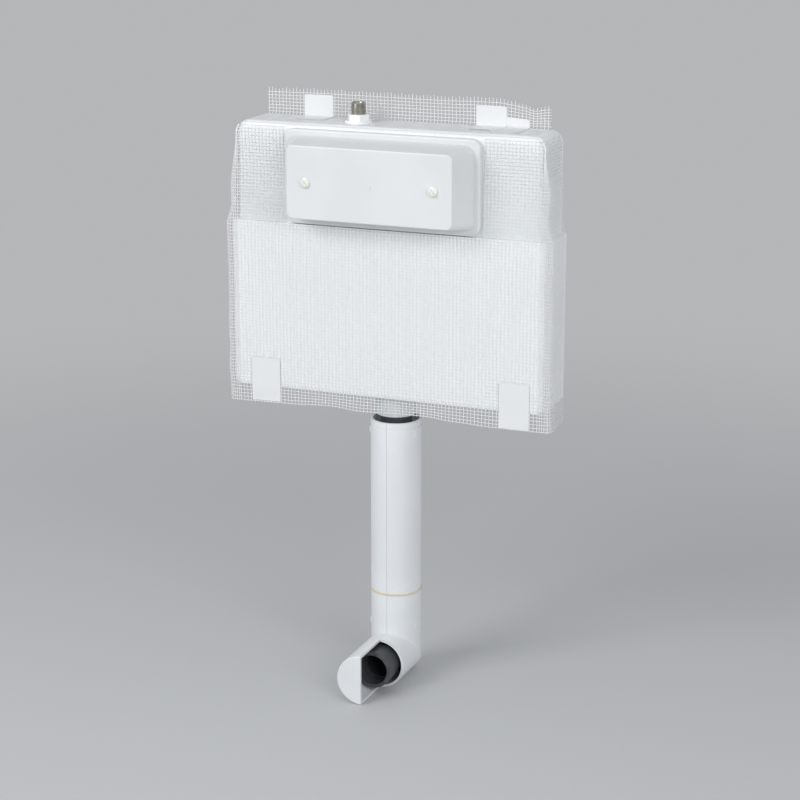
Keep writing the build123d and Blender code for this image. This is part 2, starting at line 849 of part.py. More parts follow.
def make_float_arm():
    near = tank_middle_out - arm_hub_width / 2
    far = tank_middle_out + arm_hub_width / 2
    arm = rod_out(arm_hub_radius, pivot_x, pivot_z, near, far)
    arm += block(
        arm_end, pivot_x, tank_middle_out - arm_width / 2,
        tank_middle_out + arm_width / 2, pivot_z - arm_height / 2, pivot_z + arm_height / 2)
    arm += block(
        arm_end, arm_pad_end, tank_middle_out - arm_width / 2,
        tank_middle_out + arm_width / 2, pivot_z - float_below_pivot, pivot_z)
    arm += block(
        pivot_x, pivot_x + pivot_side, tank_middle_out - arm_width / 2,
        tank_middle_out + arm_width / 2, pivot_z - arm_lobe_drop - arm_lobe_radius / 2,
        pivot_z + arm_height / 2)
    arm += rod_out(
        arm_lobe_radius, pivot_x + pivot_side, pivot_z - arm_lobe_drop,
        tank_middle_out - arm_width / 2, tank_middle_out + arm_width / 2)
    arm -= rod_out(
        pivot_pin_radius + running_gap, pivot_x, pivot_z, near - cut_overrun, far + cut_overrun)
    return dropped(arm)


def make_float():
    top = pivot_z - float_below_pivot
    body = block(
        float_left, float_right, tank_middle_out - float_depth / 2,
        tank_middle_out + float_depth / 2, top - float_height, top)
    return dropped(fillet(body.edges(), float_edge))


def fill_pin_top():
    angle = radians(float_drop_angle)
    lobe = pivot_side * sin(angle) - arm_lobe_drop * cos(angle) - arm_lobe_radius
    return pivot_z + lobe - seat_gap


def make_fill_valve_pin():
    top = fill_pin_top()
    return rod_up(fill_pin_radius, fill_x, tank_middle_out, top - fill_pin_length, top)


def make_refill_tube():
    top = fill_bottom + refill_insertion
    return ring_up(
        fill_chamber_radius, fill_chamber_radius - refill_wall, fill_x, tank_middle_out,
        refill_bottom, top)


# Flush valve

def make_outlet_gasket():
    return ring_up(
        seat_flange_radius, neck_radius + seat_gap, 0, pipe_out, gasket_floor, seat_flange_bottom)


def make_valve_seat():
    seat = rod_up(neck_radius, 0, pipe_out, neck_bottom, seat_flange_top)
    seat += rod_up(seat_flange_radius, 0, pipe_out, seat_flange_bottom, seat_flange_top)
    seat += rod_up(neck_bore_radius + seat_lip_wall, 0, pipe_out, seat_flange_bottom, seat_lip_top)
    seat -= rod_up(
        neck_bore_radius, 0, pipe_out, neck_bottom - cut_overrun, seat_lip_top + cut_overrun)
    return seat - rod_up(
        pipe_radius + seat_gap, 0, pipe_out, neck_bottom - cut_overrun,
        neck_bottom + neck_socket_depth)


def make_seat_locknut():
    low = tank_bottom - locknut_height
    nut = rod_up(locknut_radius, 0, pipe_out, low, tank_bottom)
    for place in PolarLocations(locknut_radius, locknut_notches):
        nut -= Pos(0, -pipe_out, tank_bottom - locknut_height / 2) * place * Cylinder(
            locknut_notch_radius, locknut_height + cut_overrun)
    return nut - rod_up(
        neck_radius + running_gap, 0, pipe_out, low - cut_overrun, tank_bottom + cut_overrun)


def make_valve_cage():
    cage = rod_up(cage_radius, 0, pipe_out, seat_flange_top, cage_top)
    cage -= rod_up(
        cage_radius - cage_wall, 0, pipe_out, seat_flange_top - cut_overrun,
        cage_top - cage_top_plate)
    cage -= rod_up(
        lift_tube_radius + seat_gap, 0, pipe_out, cage_top - cage_top_plate - cut_overrun,
        cage_top + cut_overrun)
    middle = Pos(0, -pipe_out, 0)
    window_low = seat_flange_top + cage_window_rise
    upper_low = window_low + cage_window_height + cage_window_rise
    windows = (
        (window_low, window_low + cage_window_height),
        (upper_low, upper_low + cage_upper_window_height))
    for place in PolarLocations(cage_radius, cage_window_count, cage_window_turn):
        for low, high in windows:
            cage -= middle * place * Pos(0, 0, (low + high) / 2) * Box(
                cage_radius, cage_window_width, high - low)
    return cage


def make_lift_tube():
    tube = rod_up(lift_tube_radius, 0, pipe_out, lift_tube_bottom, lift_tube_top)
    tube += rod_up(lift_tube_keeper_radius, 0, pipe_out, lift_tube_bottom, valve_seal_bottom)
    tube += rod_up(
        lift_disc_radius, 0, pipe_out, valve_seal_top, valve_seal_top + lift_disc_height)
    tube += block(
        0, flush_rod_side + yoke_width / 2, pipe_out - yoke_width / 2, pipe_out + yoke_width / 2,
        yoke_bottom, lift_tube_top)
    return tube - rod_up(
        lift_tube_radius - lift_tube_wall, 0, pipe_out,
        lift_tube_bottom - cut_overrun, lift_tube_top + cut_overrun)


def make_valve_seal():
    return ring_up(
        valve_seal_radius, lift_tube_radius, 0, pipe_out, valve_seal_bottom, valve_seal_top)


def make_half_flush_sleeve():
    radius = lift_tube_radius + seat_gap + sleeve_wall
    sleeve = rod_up(radius, 0, pipe_out, sleeve_bottom, sleeve_top)
    sleeve += block(
        -flush_rod_side - yoke_width / 2, 0, pipe_out - yoke_width / 2, pipe_out + yoke_width / 2,
        sleeve_top - sleeve_ear_height, sleeve_top)
    return sleeve - rod_up(
        lift_tube_radius + seat_gap, 0, pipe_out, sleeve_bottom - cut_overrun,
        sleeve_top + cut_overrun)


def make_flush_rod(x, low):
    head_z = lever_pivot_z + lever_arm_height / 2 + swing_gap + flush_rod_head_radius
    rod = rod_up(flush_rod_radius, x, pipe_out, low, head_z)
    return rod + rod_across(
        flush_rod_head_radius, pipe_out, head_z,
        x - flush_rod_head_length / 2, x + flush_rod_head_length / 2)


def make_flush_lever(x):
    left = x - lever_width / 2
    right = x + lever_width / 2
    low = lever_pivot_z - lever_arm_height / 2
    high = lever_pivot_z + lever_arm_height / 2
    arm_end = pipe_out - lever_arm_past_rod
    lever = rod_across(lever_hub_radius, lever_pivot_out, lever_pivot_z, left, right)
    lever += block(left, right, arm_end, lever_pivot_out, low, high)
    push_bottom = lever_pivot_z - lever_push_length
    push_front = lever_pivot_out + lever_push_thickness / 2
    lever += block(
        left, right, lever_pivot_out - lever_push_thickness / 2, push_front,
        push_bottom, lever_pivot_z)
    lever += block(
        x - lever_pad_width / 2, x + lever_pad_width / 2, push_front - lever_pad_thickness / 2,
        push_front + lever_pad_thickness, push_bottom, push_bottom + lever_pad_height)
    slot = flush_rod_radius + lever_fork_clearance
    lever -= block(
        x - slot, x + slot, arm_end - cut_overrun, pipe_out + lever_fork_root,
        low - cut_overrun, high + cut_overrun)
    return lever - rod_across(
        lever_pin_radius + running_gap, lever_pivot_out, lever_pivot_z,
        left - cut_overrun, right + cut_overrun)


def make_lever_pin():
    return rod_across(
        lever_pin_radius, lever_pivot_out, lever_pivot_z, -bracket_half_width, bracket_half_width)


def make_lever_bracket():
    bar_bottom = frame_opening_top - bracket_bar_height
    bracket = block(
        -bracket_half_width, bracket_half_width, bracket_back, bracket_back + bracket_depth,
        bar_bottom, frame_opening_top)
    cheek_right = bracket_half_width - bracket_cheek_inset
    cheek_left = cheek_right - bracket_cheek
    webs = (
        (-cheek_right, -cheek_left), (-bracket_web / 2, bracket_web / 2),
        (cheek_left, cheek_right))
    for left, right in webs:
        bracket += block(
            left, right, bracket_back, bracket_back + bracket_cheek_depth,
            lever_pivot_z - bracket_below_pivot, frame_opening_top)
    return bracket - rod_across(
        lever_pin_radius, lever_pivot_out, lever_pivot_z,
        -bracket_half_width - cut_overrun, bracket_half_width + cut_overrun)


# Flush pipe and outlet bend

def make_outlet_nut():
    nut = rod_up(nut_radius, 0, pipe_out, nut_bottom, nut_top)
    for place in PolarLocations(nut_radius, nut_rib_count):
        nut += Pos(0, -pipe_out, (nut_bottom + nut_top) / 2) * place * Cylinder(
            nut_rib_radius, nut_height)
    nut -= rod_up(
        neck_radius + running_gap, 0, pipe_out, pipe_seal_bottom, nut_top + cut_overrun)
    return nut - rod_up(
        pipe_radius + seat_gap, 0, pipe_out, nut_bottom - cut_overrun, nut_top)


def make_pipe_seal():
    return ring_up(neck_radius, pipe_radius, 0, pipe_out, pipe_seal_bottom, pipe_seal_top)


def make_flush_pipe():
    return ring_up(pipe_radius, pipe_radius - pipe_wall, 0, pipe_out, pipe_bottom, pipe_top)


def bend_core(radius):
    # A quarter turn from the upright leg to the level leg.
    section = Plane.XY.offset(bend_start_z) * Pos(0, -pipe_out) * Circle(radius)
    turn = Axis((0, -bend_end_out, bend_start_z), (-1, 0, 0))
    return revolve(section, turn, bend_turn)


def make_flush_bend():
    socket_radius = pipe_radius + running_gap + bend_socket_wall
    bend = rod_up(pipe_radius, 0, pipe_out, bend_start_z, bend_socket_bottom)
    bend += rod_up(socket_radius, 0, pipe_out, bend_socket_bottom, bend_socket_top)
    bend += bend_core(pipe_radius)
    bend += rod_out(pipe_radius, 0, outlet_z, bend_end_out, outlet_out)
    bend += rod_out(
        outlet_socket_radius, 0, outlet_z, outlet_out - outlet_socket_length, outlet_out)
    inner = pipe_radius - pipe_wall
    bend -= rod_up(inner, 0, pipe_out, bend_start_z, bend_socket_top + cut_overrun)
    bend -= bend_core(inner)
    bend -= rod_out(inner, 0, outlet_z, bend_end_out, outlet_out + cut_overrun)
    bend -= rod_up(
        pipe_radius + running_gap, 0, pipe_out, pipe_bottom, bend_socket_top + cut_overrun)
    seal_top = bend_socket_top - bend_seal_inset
    bend -= rod_up(
        pipe_radius + bend_seal_depth + running_gap, 0, pipe_out, seal_top - bend_seal_height,
        seal_top)
    return bend - rod_out(
        outlet_seal_radius, 0, outlet_z, outlet_out - outlet_seal_length, outlet_out + cut_overrun)


def make_bend_seal():
    seal_top = bend_socket_top - bend_seal_inset
    return ring_up(
        pipe_radius + bend_seal_depth, pipe_radius, 0, pipe_out, seal_top - bend_seal_height,
        seal_top)


def make_outlet_seal():
    seal = rod_out(
        outlet_seal_radius, 0, outlet_z, outlet_out - outlet_seal_length, outlet_out)
    seal += rod_out(outlet_socket_radius, 0, outlet_z, outlet_out, outlet_seal_front)
    return seal - rod_out(
        outlet_bore_radius, 0, outlet_z, outlet_out - outlet_seal_length - cut_overrun,
        outlet_seal_front + cut_overrun)


# Protective shell

def shell_lug(side, z):
    angle = radians(shell_lug_angle)
    x = side * shell_radius * sin(angle)
    out = pipe_out + shell_radius * cos(angle)
    return Pos(x, -out, z) * Rot(0, 0, side * shell_lug_angle) * Box(
        shell_lug_width, 2 * shell_lug_proud, shell_lug_height)


def web(z):
    return ring_up(
        shell_radius - shell_wall / 2, pipe_radius + seat_gap, 0, pipe_out, z, z + shell_web)


def make_pipe_shell(side):
    shell = ring_up(shell_radius, shell_radius - shell_wall, 0, pipe_out, shell_joint, shell_rim)
    shell += web(shell_rim - shell_web_inset)
    groove_top = shell_rim - shell_groove_drop
    shell -= ring_up(
        shell_radius + cut_overrun, shell_radius - shell_groove_depth, 0, pipe_out,
        groove_top - shell_groove_width, groove_top)
    piece = half(shell, side)
    return piece + shell_lug(side, shell_rim - shell_lug_drop)


def mitred(radius):
    mitre = Plane(origin=(0, -pipe_out, outlet_z), z_dir=(0, 1, 1))
    upright = rod_up(radius, 0, pipe_out, outlet_z - 2 * radius, shell_joint)
    level = rod_out(radius, 0, outlet_z, pipe_out - 2 * radius, shell_rim_out)
    upright = split(upright, bisect_by=mitre, keep=Keep.TOP)
    level = split(level, bisect_by=mitre, keep=Keep.BOTTOM)
    return upright + level


def make_elbow_shell(side):
    inner = shell_radius - shell_wall
    shell = mitred(shell_radius) - mitred(inner)
    shell -= rod_up(inner, 0, pipe_out, shell_joint - cut_overrun, shell_joint + cut_overrun)
    shell -= rod_out(inner, 0, outlet_z, shell_rim_out - cut_overrun, shell_rim_out + cut_overrun)
    web_z = bend_start_z + seat_gap
    shell += web(web_z)
    piece = half(shell, side)
    return piece + shell_lug(side, outlet_z + shell_lug_rise)


def make_outlet_guard():
    guard = rod_out(shell_radius, 0, outlet_z, shell_rim_out, guard_front)
    guard = fillet(front_edges(guard), guard_edge)
    guard -= rod_out(
        shell_radius - shell_wall, 0, outlet_z, shell_rim_out - cut_overrun,
        guard_front - guard_cap)
    return half(guard, -1)


def make_joint_band():
    return ring_up(
        shell_radius + band_proud, shell_radius + running_gap, 0, pipe_out,
        shell_joint - band_height / 2, shell_joint + band_height / 2)


pieces = {
    "tank_shell": make_tank(),
    "insulation_jacket": make_jacket(),
    "mesh_below_box": make_mesh_below_box(),
    "mesh_left_of_box": make_mesh_beside_box(-1),
    "mesh_right_of_box": make_mesh_beside_box(1),
    "mesh_over_top": make_mesh_over_top(),
    "mesh_top_flap": make_mesh_top_flap(),
    "mesh_side_left": make_mesh_side(-1),
    "mesh_side_right": make_mesh_side(1),
    "mesh_tabs": make_tabs(),
    "inspection_box": make_inspection_box(),
    "box_screw_left": make_box_screw(box_screw_places[0]),
    "box_screw_right": make_box_screw(box_screw_places[1]),
    "access_frame": make_access_frame(),
    "access_gasket": make_access_gasket(),
    "frame_screws": make_frame_screws(),
    "inlet_nipple": make_inlet_nipple(),
    "inlet_gasket": make_inlet_gasket(),
    "inlet_washer": make_inlet_washer(),
    "inlet_nut": make_inlet_nut(),
    "stop_valve_body": make_stop_valve_body(),
    "stop_valve_spindle": make_stop_valve_spindle(),
    "stop_valve_handle": make_stop_valve_handle(),
    "union_nut": make_union_nut(),
    "fill_valve_body": make_fill_valve_body(),
    "fill_valve_cap": make_fill_valve_cap(),
    "fill_valve_pin": make_fill_valve_pin(),
    "float_pivot_pin": make_pivot_pin(),
    "float_arm": make_float_arm(),
    "float_block": make_float(),
    "refill_tube": make_refill_tube(),
    "outlet_gasket": make_outlet_gasket(),
    "valve_seat": make_valve_seat(),
    "seat_locknut": make_seat_locknut(),
    "valve_cage": make_valve_cage(),
    "lift_tube": make_lift_tube(),
    "valve_seal": make_valve_seal(),
    "full_flush_rod": make_flush_rod(flush_rod_side, lift_tube_top),
    "half_flush_sleeve": make_half_flush_sleeve(),
    "half_flush_rod": make_flush_rod(-flush_rod_side, sleeve_top),
    "full_flush_lever": make_flush_lever(flush_rod_side),
    "half_flush_lever": make_flush_lever(-flush_rod_side),
    "lever_pin": make_lever_pin(),
    "lever_bracket": make_lever_bracket(),
    "outlet_nut": make_outlet_nut(),
    "pipe_seal": make_pipe_seal(),
    "flush_pipe": make_flush_pipe(),
    "flush_bend": make_flush_bend(),
    "bend_seal": make_bend_seal(),
    "outlet_seal": make_outlet_seal(),
    "pipe_shell_left": make_pipe_shell(-1),
    "pipe_shell_right": make_pipe_shell(1),
    "elbow_shell_left": make_elbow_shell(-1),
    "elbow_shell_right": make_elbow_shell(1),
    "outlet_guard": make_outlet_guard(),
    "joint_band": make_joint_band(),
}

os.makedirs("parts", exist_ok=True)
for name, shape in pieces.items():
    export_step(shape, f"parts/{name}.step")
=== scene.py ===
# %% [markdown]
# A slim toilet cistern that is built into a wall: a milky tank with an inspection box, a white
# insulating jacket, a net that carries plaster, and a flush pipe in a protective shell.
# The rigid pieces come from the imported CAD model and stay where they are. This script gives them
# their finishes, and makes anew the pieces whose charm is in fine detail: the net, its tape tabs,
# the ribbed jacket, the threaded inlet, the two fasteners and the elastic band.

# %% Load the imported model
import json
from math import cos, pi, radians, sin
import bpy
import bmesh
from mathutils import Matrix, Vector, noise


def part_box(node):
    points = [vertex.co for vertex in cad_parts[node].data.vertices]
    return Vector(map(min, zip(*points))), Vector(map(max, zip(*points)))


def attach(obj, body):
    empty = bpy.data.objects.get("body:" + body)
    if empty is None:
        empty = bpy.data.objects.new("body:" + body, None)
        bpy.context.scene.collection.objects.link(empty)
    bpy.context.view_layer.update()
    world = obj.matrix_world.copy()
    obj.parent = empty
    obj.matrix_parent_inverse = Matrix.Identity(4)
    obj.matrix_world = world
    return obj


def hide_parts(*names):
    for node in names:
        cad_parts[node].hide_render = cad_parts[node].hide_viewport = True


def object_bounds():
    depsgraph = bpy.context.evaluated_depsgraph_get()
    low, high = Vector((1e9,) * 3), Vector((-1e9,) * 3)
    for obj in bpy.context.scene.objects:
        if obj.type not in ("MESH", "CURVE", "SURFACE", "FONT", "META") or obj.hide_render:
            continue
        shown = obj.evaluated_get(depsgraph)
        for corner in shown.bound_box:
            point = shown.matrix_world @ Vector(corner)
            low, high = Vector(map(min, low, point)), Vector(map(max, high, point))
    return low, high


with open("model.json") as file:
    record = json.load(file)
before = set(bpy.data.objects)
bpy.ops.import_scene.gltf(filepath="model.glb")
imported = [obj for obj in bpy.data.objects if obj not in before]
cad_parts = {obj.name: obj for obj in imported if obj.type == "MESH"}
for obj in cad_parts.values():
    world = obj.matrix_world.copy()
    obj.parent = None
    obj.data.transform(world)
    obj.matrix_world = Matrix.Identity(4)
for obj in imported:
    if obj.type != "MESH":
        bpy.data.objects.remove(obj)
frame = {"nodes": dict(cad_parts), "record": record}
scene = bpy.context.scene
cad_low, cad_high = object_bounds()
MM = 0.001
CISTERN = "cistern"

# %% [markdown]
# Meshes are made from plain lists of points and faces. Points are written in millimetres as
# (x, out, z), where "out" is the distance from the wall, because that is how the cistern is
# measured. One helper turns them into an object in metres, and another reads a CAD node's box
# back in the same measure, as three spans. New pieces take their sizes from those spans.

# %% Helpers that make an object and measure a node
def reworked(mesh, change):
    """Changes a mesh in place with bmesh's tools."""
    work = bmesh.new()
    work.from_mesh(mesh)
    change(work)
    work.to_mesh(mesh)
    work.free()


def make_piece(name, points, faces, smooth=True):
    mesh = bpy.data.meshes.new(name)
    mesh.from_pydata([(x * MM, -out * MM, z * MM) for x, out, z in points], [], faces)
    mesh.validate()
    reworked(mesh, lambda work: bmesh.ops.recalc_face_normals(work, faces=work.faces))
    for face in mesh.polygons:
        face.use_smooth = smooth
    piece = bpy.data.objects.new(name, mesh)
    scene.collection.objects.link(piece)
    return piece


def node_box(node):
    low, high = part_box(node)
    return ((low.x / MM, high.x / MM), (-high.y / MM, -low.y / MM), (low.z / MM, high.z / MM))


def middle(span):
    return sum(span) / 2


def half(span):
    return (span[1] - span[0]) / 2


print("tank's half width, mm:", round(half(node_box("tank_shell")[0])))

# %% [markdown]
# Shader maths reads best as sums. A small class wraps a socket and overloads the operators, so
# that 1 - mask adds the Math node that it needs. Every other node comes from one method, which
# takes the node's type, its settings, and the values or links of its sockets.

# %% Wires and graphs
class Wire:
    """A node's output that can be added, subtracted and multiplied."""

    def __init__(self, graph, socket):
        self.graph = graph
        self.socket = socket

    def joined(self, operation, first, second):
        return self.graph.node("Math", {"operation": operation}, {0: first, 1: second})

    def __add__(self, other):
        return self.joined("ADD", self, other)

    def __sub__(self, other):
        return self.joined("SUBTRACT", self, other)

    def __rsub__(self, other):
        return self.joined("SUBTRACT", other, self)

    def __mul__(self, other):
        return self.joined("MULTIPLY", self, other)

    __radd__ = __add__
    __rmul__ = __mul__


class Graph:
    """A node tree, with one way to add a node to it."""

    def __init__(self, tree):
        self.tree = tree

    def plug(self, socket, value):
        if isinstance(value, Wire):
            self.tree.links.new(value.socket, socket)
        elif isinstance(value, tuple) and len(value) < len(socket.default_value):
            socket.default_value = (*value, 1)
        else:
            socket.default_value = value

    def node(self, kind, settings=(), sockets=(), pick=0):
        made = self.tree.nodes.new("ShaderNode" + kind)
        for key, value in dict(settings).items():
            setattr(made, key, value)
        for key, value in dict(sockets).items():
            self.plug(made.inputs[key], value)
        return Wire(self, made.outputs[pick])


# %% [markdown]
# A recipe is such a graph for one material. It ends in the Principled shader, and starts from the
# place on the object, so that a texture keeps its real size on every piece. It gives handier names
# to what most finishes need: noise, a window on it, a blend of two colours, and a bump.

# %% Recipes for materials
# A Mix node has sockets for each kind of value. These are the places of those that colours use.
MIX_SHARE, MIX_FIRST, MIX_SECOND, MIX_RESULT = 0, 6, 7, 2


class Recipe(Graph):
    """One material, with the Principled shader at its end."""

    def __init__(self, name, **sockets):
        self.material = bpy.data.materials.new(name)
        self.material.use_nodes = True
        super().__init__(self.material.node_tree)
        self.shader = self.tree.nodes["Principled BSDF"]
        self.place = self.node("TexCoord", pick="Object")
        self.set(**sockets)

    def set(self, **sockets):
        for key, value in sockets.items():
            self.plug(self.shader.inputs[key.replace("_", " ")], value)

    def noise(self, scale, detail):
        """Noise with scale waves to a metre. Three scales stretch it along the axes."""
        place = self.place
        if isinstance(scale, tuple):
            place, scale = self.node("Mapping", {}, {"Vector": place, "Scale": scale}), 1
        return self.node("TexNoise", {}, {"Vector": place, "Scale": scale, "Detail": detail})

    def window(self, value, low, high):
        return self.node("MapRange", {"interpolation_type": "SMOOTHSTEP"}, {
            "Value": value, "From Min": low, "From Max": high})

    def blend(self, share, first, second):
        return self.node("Mix", {"data_type": "RGBA"}, {
            MIX_SHARE: share, MIX_FIRST: first, MIX_SECOND: second}, MIX_RESULT)

    def shades(self, share, colour, dark, light):
        return self.blend(share, tinted(colour, dark), tinted(colour, light))

    def bump(self, height, distance):
        self.set(Normal=self.node("Bump", {}, {"Height": height, "Distance": distance * MM}))


def tinted(colour, factor):
    return tuple(min(1.0, part * factor) for part in colour)


print("white, a tenth darker:", tinted((1, 1, 1), 0.9))

# %% [markdown]
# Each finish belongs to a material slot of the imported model, so that the same slot looks the same
# on a CAD piece and on a piece made here. A finish is a recipe and the looks that it is given.
# Noise is named by its scale and detail, and heights of bumps are in millimetres.
#
# Moulded plastic is never one flat colour. The melt cools unevenly, so the shade drifts a little
# over a hand's width. The mould's skin leaves a fine grain, and handling leaves dull scuffs. Each
# plastic takes these three from noise at its real size.

# %% Moulded plastics
FINISHES = {}
CLOUD, CLOUD_WINDOW, CLOUD_DULLING = (9, 4), (0.35, 0.65), 0.06
SCUFF, SCUFF_WINDOW, SCUFF_DULLING = ((420, 420, 70), 5), (0.62, 0.74), 0.14
SCUFF_STRENGTH, SCUFF_SHARE, SCUFF_SHADE = 0.5, 0.25, 0.86
GRAIN, DIMPLES, DIMPLE_SHARE, GRAIN_HEIGHT = (1900, 2), (140, 2), 0.8, 0.04


def finish(slot, recipe, **looks):
    FINISHES[slot] = recipe(slot, **looks)


def moulded(name, colour, rough, drift=0.04, **sockets):
    paint = Recipe(name, **sockets)
    cloud = paint.window(paint.noise(*CLOUD), *CLOUD_WINDOW)
    scuff = paint.window(paint.noise(*SCUFF), *SCUFF_WINDOW) * SCUFF_STRENGTH
    clean = paint.shades(cloud, colour, 1 - drift, 1 + drift / 2)
    paint.set(
        Base_Color=paint.blend(scuff * SCUFF_SHARE, clean, tinted(colour, SCUFF_SHADE)),
        Roughness=rough + scuff * SCUFF_DULLING + (cloud - 0.5) * CLOUD_DULLING)
    paint.bump(paint.noise(*GRAIN) + paint.noise(*DIMPLES) * DIMPLE_SHARE, GRAIN_HEIGHT)
    return paint.material


finish("tank_plastic", moulded, colour=(0.86, 0.89, 0.91), rough=0.38, drift=0.05)
finish("box_plastic", moulded, colour=(0.755, 0.775, 0.79), rough=0.34, drift=0.03)
finish(
    "screw_plastic", moulded, colour=(0.84, 0.86, 0.80), rough=0.22, drift=0.06, Coat_Weight=0.3)
finish("frame_plastic", moulded, colour=(0.72, 0.73, 0.74), rough=0.42)
finish("nut_plastic", moulded, colour=(0.90, 0.91, 0.91), rough=0.35)
finish("valve_plastic", moulded, colour=(0.70, 0.72, 0.74), rough=0.4)
finish("valve_blue", moulded, colour=(0.05, 0.14, 0.42), rough=0.36)
finish("valve_green", moulded, colour=(0.08, 0.30, 0.14), rough=0.36)
finish("handle_plastic", moulded, colour=(0.03, 0.03, 0.034), rough=0.4)
finish(
    "clear_nut_plastic", moulded, colour=(0.84, 0.865, 0.88), rough=0.28, drift=0.08,
    Transmission_Weight=0.12)
finish("pipe_plastic", moulded, colour=(0.055, 0.06, 0.068), rough=0.42)
finish("shell_plastic", moulded, colour=(0.80, 0.825, 0.85), rough=0.36)
print("moulded finishes:", len(FINISHES))

# %% [markdown]
# The jacket and the float are foam: small beads that swelled in a mould until they met. A Voronoi
# texture has just such cells. Towards the edge of each cell it makes the foam a little lighter,
# duller and higher, which leaves a dimple at each bead, and fine noise adds pits.

# %% Foam
FOAM_CLOUD, FOAM_CLOUD_SHARE = (14, 4), 0.5
BEAD_SHARE, BEAD_DULLING, FOAM_ROUGH = 0.25, 0.12, 0.62
PITS, PIT_SHARE = (700, 2), 0.6


def foamed(name, colour, bead, depth):
    paint = Recipe(name)
    beads = paint.node("TexVoronoi", {}, {"Vector": paint.place, "Scale": 1 / (bead * MM)})
    mottle = paint.noise(*FOAM_CLOUD) * FOAM_CLOUD_SHARE + beads * BEAD_SHARE
    paint.set(
        Base_Color=paint.shades(mottle, colour, dark=0.94, light=1.04),
        Roughness=FOAM_ROUGH + beads * BEAD_DULLING)
    paint.bump(beads + paint.noise(*PITS) * PIT_SHARE, depth)
    return paint.material


finish("jacket_foam", foamed, colour=(0.935, 0.958, 0.98), bead=2.2, depth=0.05)
finish("float_foam", foamed, colour=(0.84, 0.82, 0.74), bead=1.6, depth=0.15)
print("with foam:", len(FINISHES))

# %% [markdown]
# The inlet and some valve pieces are turned brass under nickel, and the screws are steel. The
# lathe leaves fine level rings, made here by noise that is squeezed along the height. Where the
# metal has aged it is darker, duller and a little less metallic.

# %% Metal
AGE, AGE_WINDOW = (120, 5), (0.42, 0.68)
AGE_SHARE, AGE_LOSS, AGE_DULLING = 0.7, 0.12, 0.2
RINGS, RING_DULLING, RING_HEIGHT = ((60, 60, 5200), 2), 0.12, 0.02


def metal(name, colour, tarnish, rough):
    paint = Recipe(name)
    age = paint.window(paint.noise(*AGE), *AGE_WINDOW)
    rings = paint.noise(*RINGS)
    paint.set(
        Metallic=1 - age * AGE_LOSS,
        Base_Color=paint.blend(age * AGE_SHARE, colour, tarnish),
        Roughness=rough + age * AGE_DULLING + rings * RING_DULLING)
    paint.bump(rings, RING_HEIGHT)
    return paint.material


finish("brass", metal, colour=(0.47, 0.45, 0.41), tarnish=(0.25, 0.23, 0.20), rough=0.22)
finish("steel", metal, colour=(0.62, 0.63, 0.64), tarnish=(0.36, 0.36, 0.37), rough=0.3)
print("with metal:", len(FINISHES))

# %% [markdown]
# Rubber seals and the elastic band are matt, and dust clings to them in patches. One mask of noise
# both lightens the rubber and dulls it, because that is what dust does.

# %% Rubber
DUST, DUST_WINDOW = (90, 5), (0.45, 0.72)
DUST_SHARE, DUST_DULLING, RUBBER_ROUGH = 0.5, 0.2, 0.56
SKIN, SKIN_HEIGHT = (1500, 3), 0.06


def rubbery(name, colour, dust):
    paint = Recipe(name)
    patches = paint.window(paint.noise(*DUST), *DUST_WINDOW)
    paint.set(
        Base_Color=paint.blend(patches * DUST_SHARE, colour, dust),
        Roughness=RUBBER_ROUGH + patches * DUST_DULLING)
    paint.bump(paint.noise(*SKIN), SKIN_HEIGHT)
    return paint.material


finish("black_rubber", rubbery, colour=(0.018, 0.018, 0.02), dust=(0.07, 0.07, 0.068))
finish("grey_rubber", rubbery, colour=(0.06, 0.067, 0.075), dust=(0.13, 0.135, 0.14))
finish("band_elastic", rubbery, colour=(0.72, 0.62, 0.44), dust=(0.82, 0.76, 0.62))
print("with rubber:", len(FINISHES))

# %% [markdown]
# Tape and coated glass fibre are woven. Two Wave textures, one across and one upright, add up to a
# plain weave, and noise gives it a little fluff. A Wave texture has about three bands to each unit
# of its scale.

# %% Woven tape and fibre
BANDS_TO_A_SCALE, BAND_WOBBLE = 3, 0.6
FLUFF, FLUFF_SHARE, FLUFF_DULLING, WEAVE_SHARE = (260, 4), 0.3, 0.1, 0.5


def woven(name, colour, pitch, rough, depth):
    paint = Recipe(name)
    across, upright = (
        paint.node("TexWave", {"bands_direction": way}, {
            "Vector": paint.place, "Scale": 1 / (pitch * MM) / BANDS_TO_A_SCALE,
            "Distortion": BAND_WOBBLE})
        for way in ("X", "Z"))
    weave = across * 0.5 + upright * 0.5
    fluff = paint.noise(*FLUFF)
    mottle = weave * WEAVE_SHARE + fluff * FLUFF_SHARE
    paint.set(
        Base_Color=paint.shades(mottle, colour, dark=0.9, light=1.05),
        Roughness=rough + fluff * FLUFF_DULLING)
    paint.bump(weave, depth)
    return paint.material


finish(
    "mesh_glass_fibre", woven, colour=(0.955, 0.965, 0.975), pitch=0.5, rough=0.5, depth=0.02)
finish("tape", woven, colour=(0.83, 0.845, 0.86), pitch=0.8, rough=0.45, depth=0.02)
print("with woven finishes:", len(FINISHES))

# %% [markdown]
# The record says which slot each CAD piece has. A CAD piece only changes its finish. A piece made
# here also says which body it moves with, and which CAD nodes it stands for.

# %% Dress the CAD pieces
def dress(piece, slot):
    piece.data.materials.clear()
    piece.data.materials.append(FINISHES[slot])


def settle(piece, slot, body, *nodes):
    """Gives a new piece its finish and body, and lets it stand for CAD nodes."""
    dress(piece, slot)
    if nodes:
        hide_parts(*nodes)
    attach(piece, body)


slot_of = {row["node"]: row["material_slot"] for row in frame["record"]["subparts"]}
for node, piece in frame["nodes"].items():
    dress(piece, slot_of[node])
print("dressed:", len(frame["nodes"]))

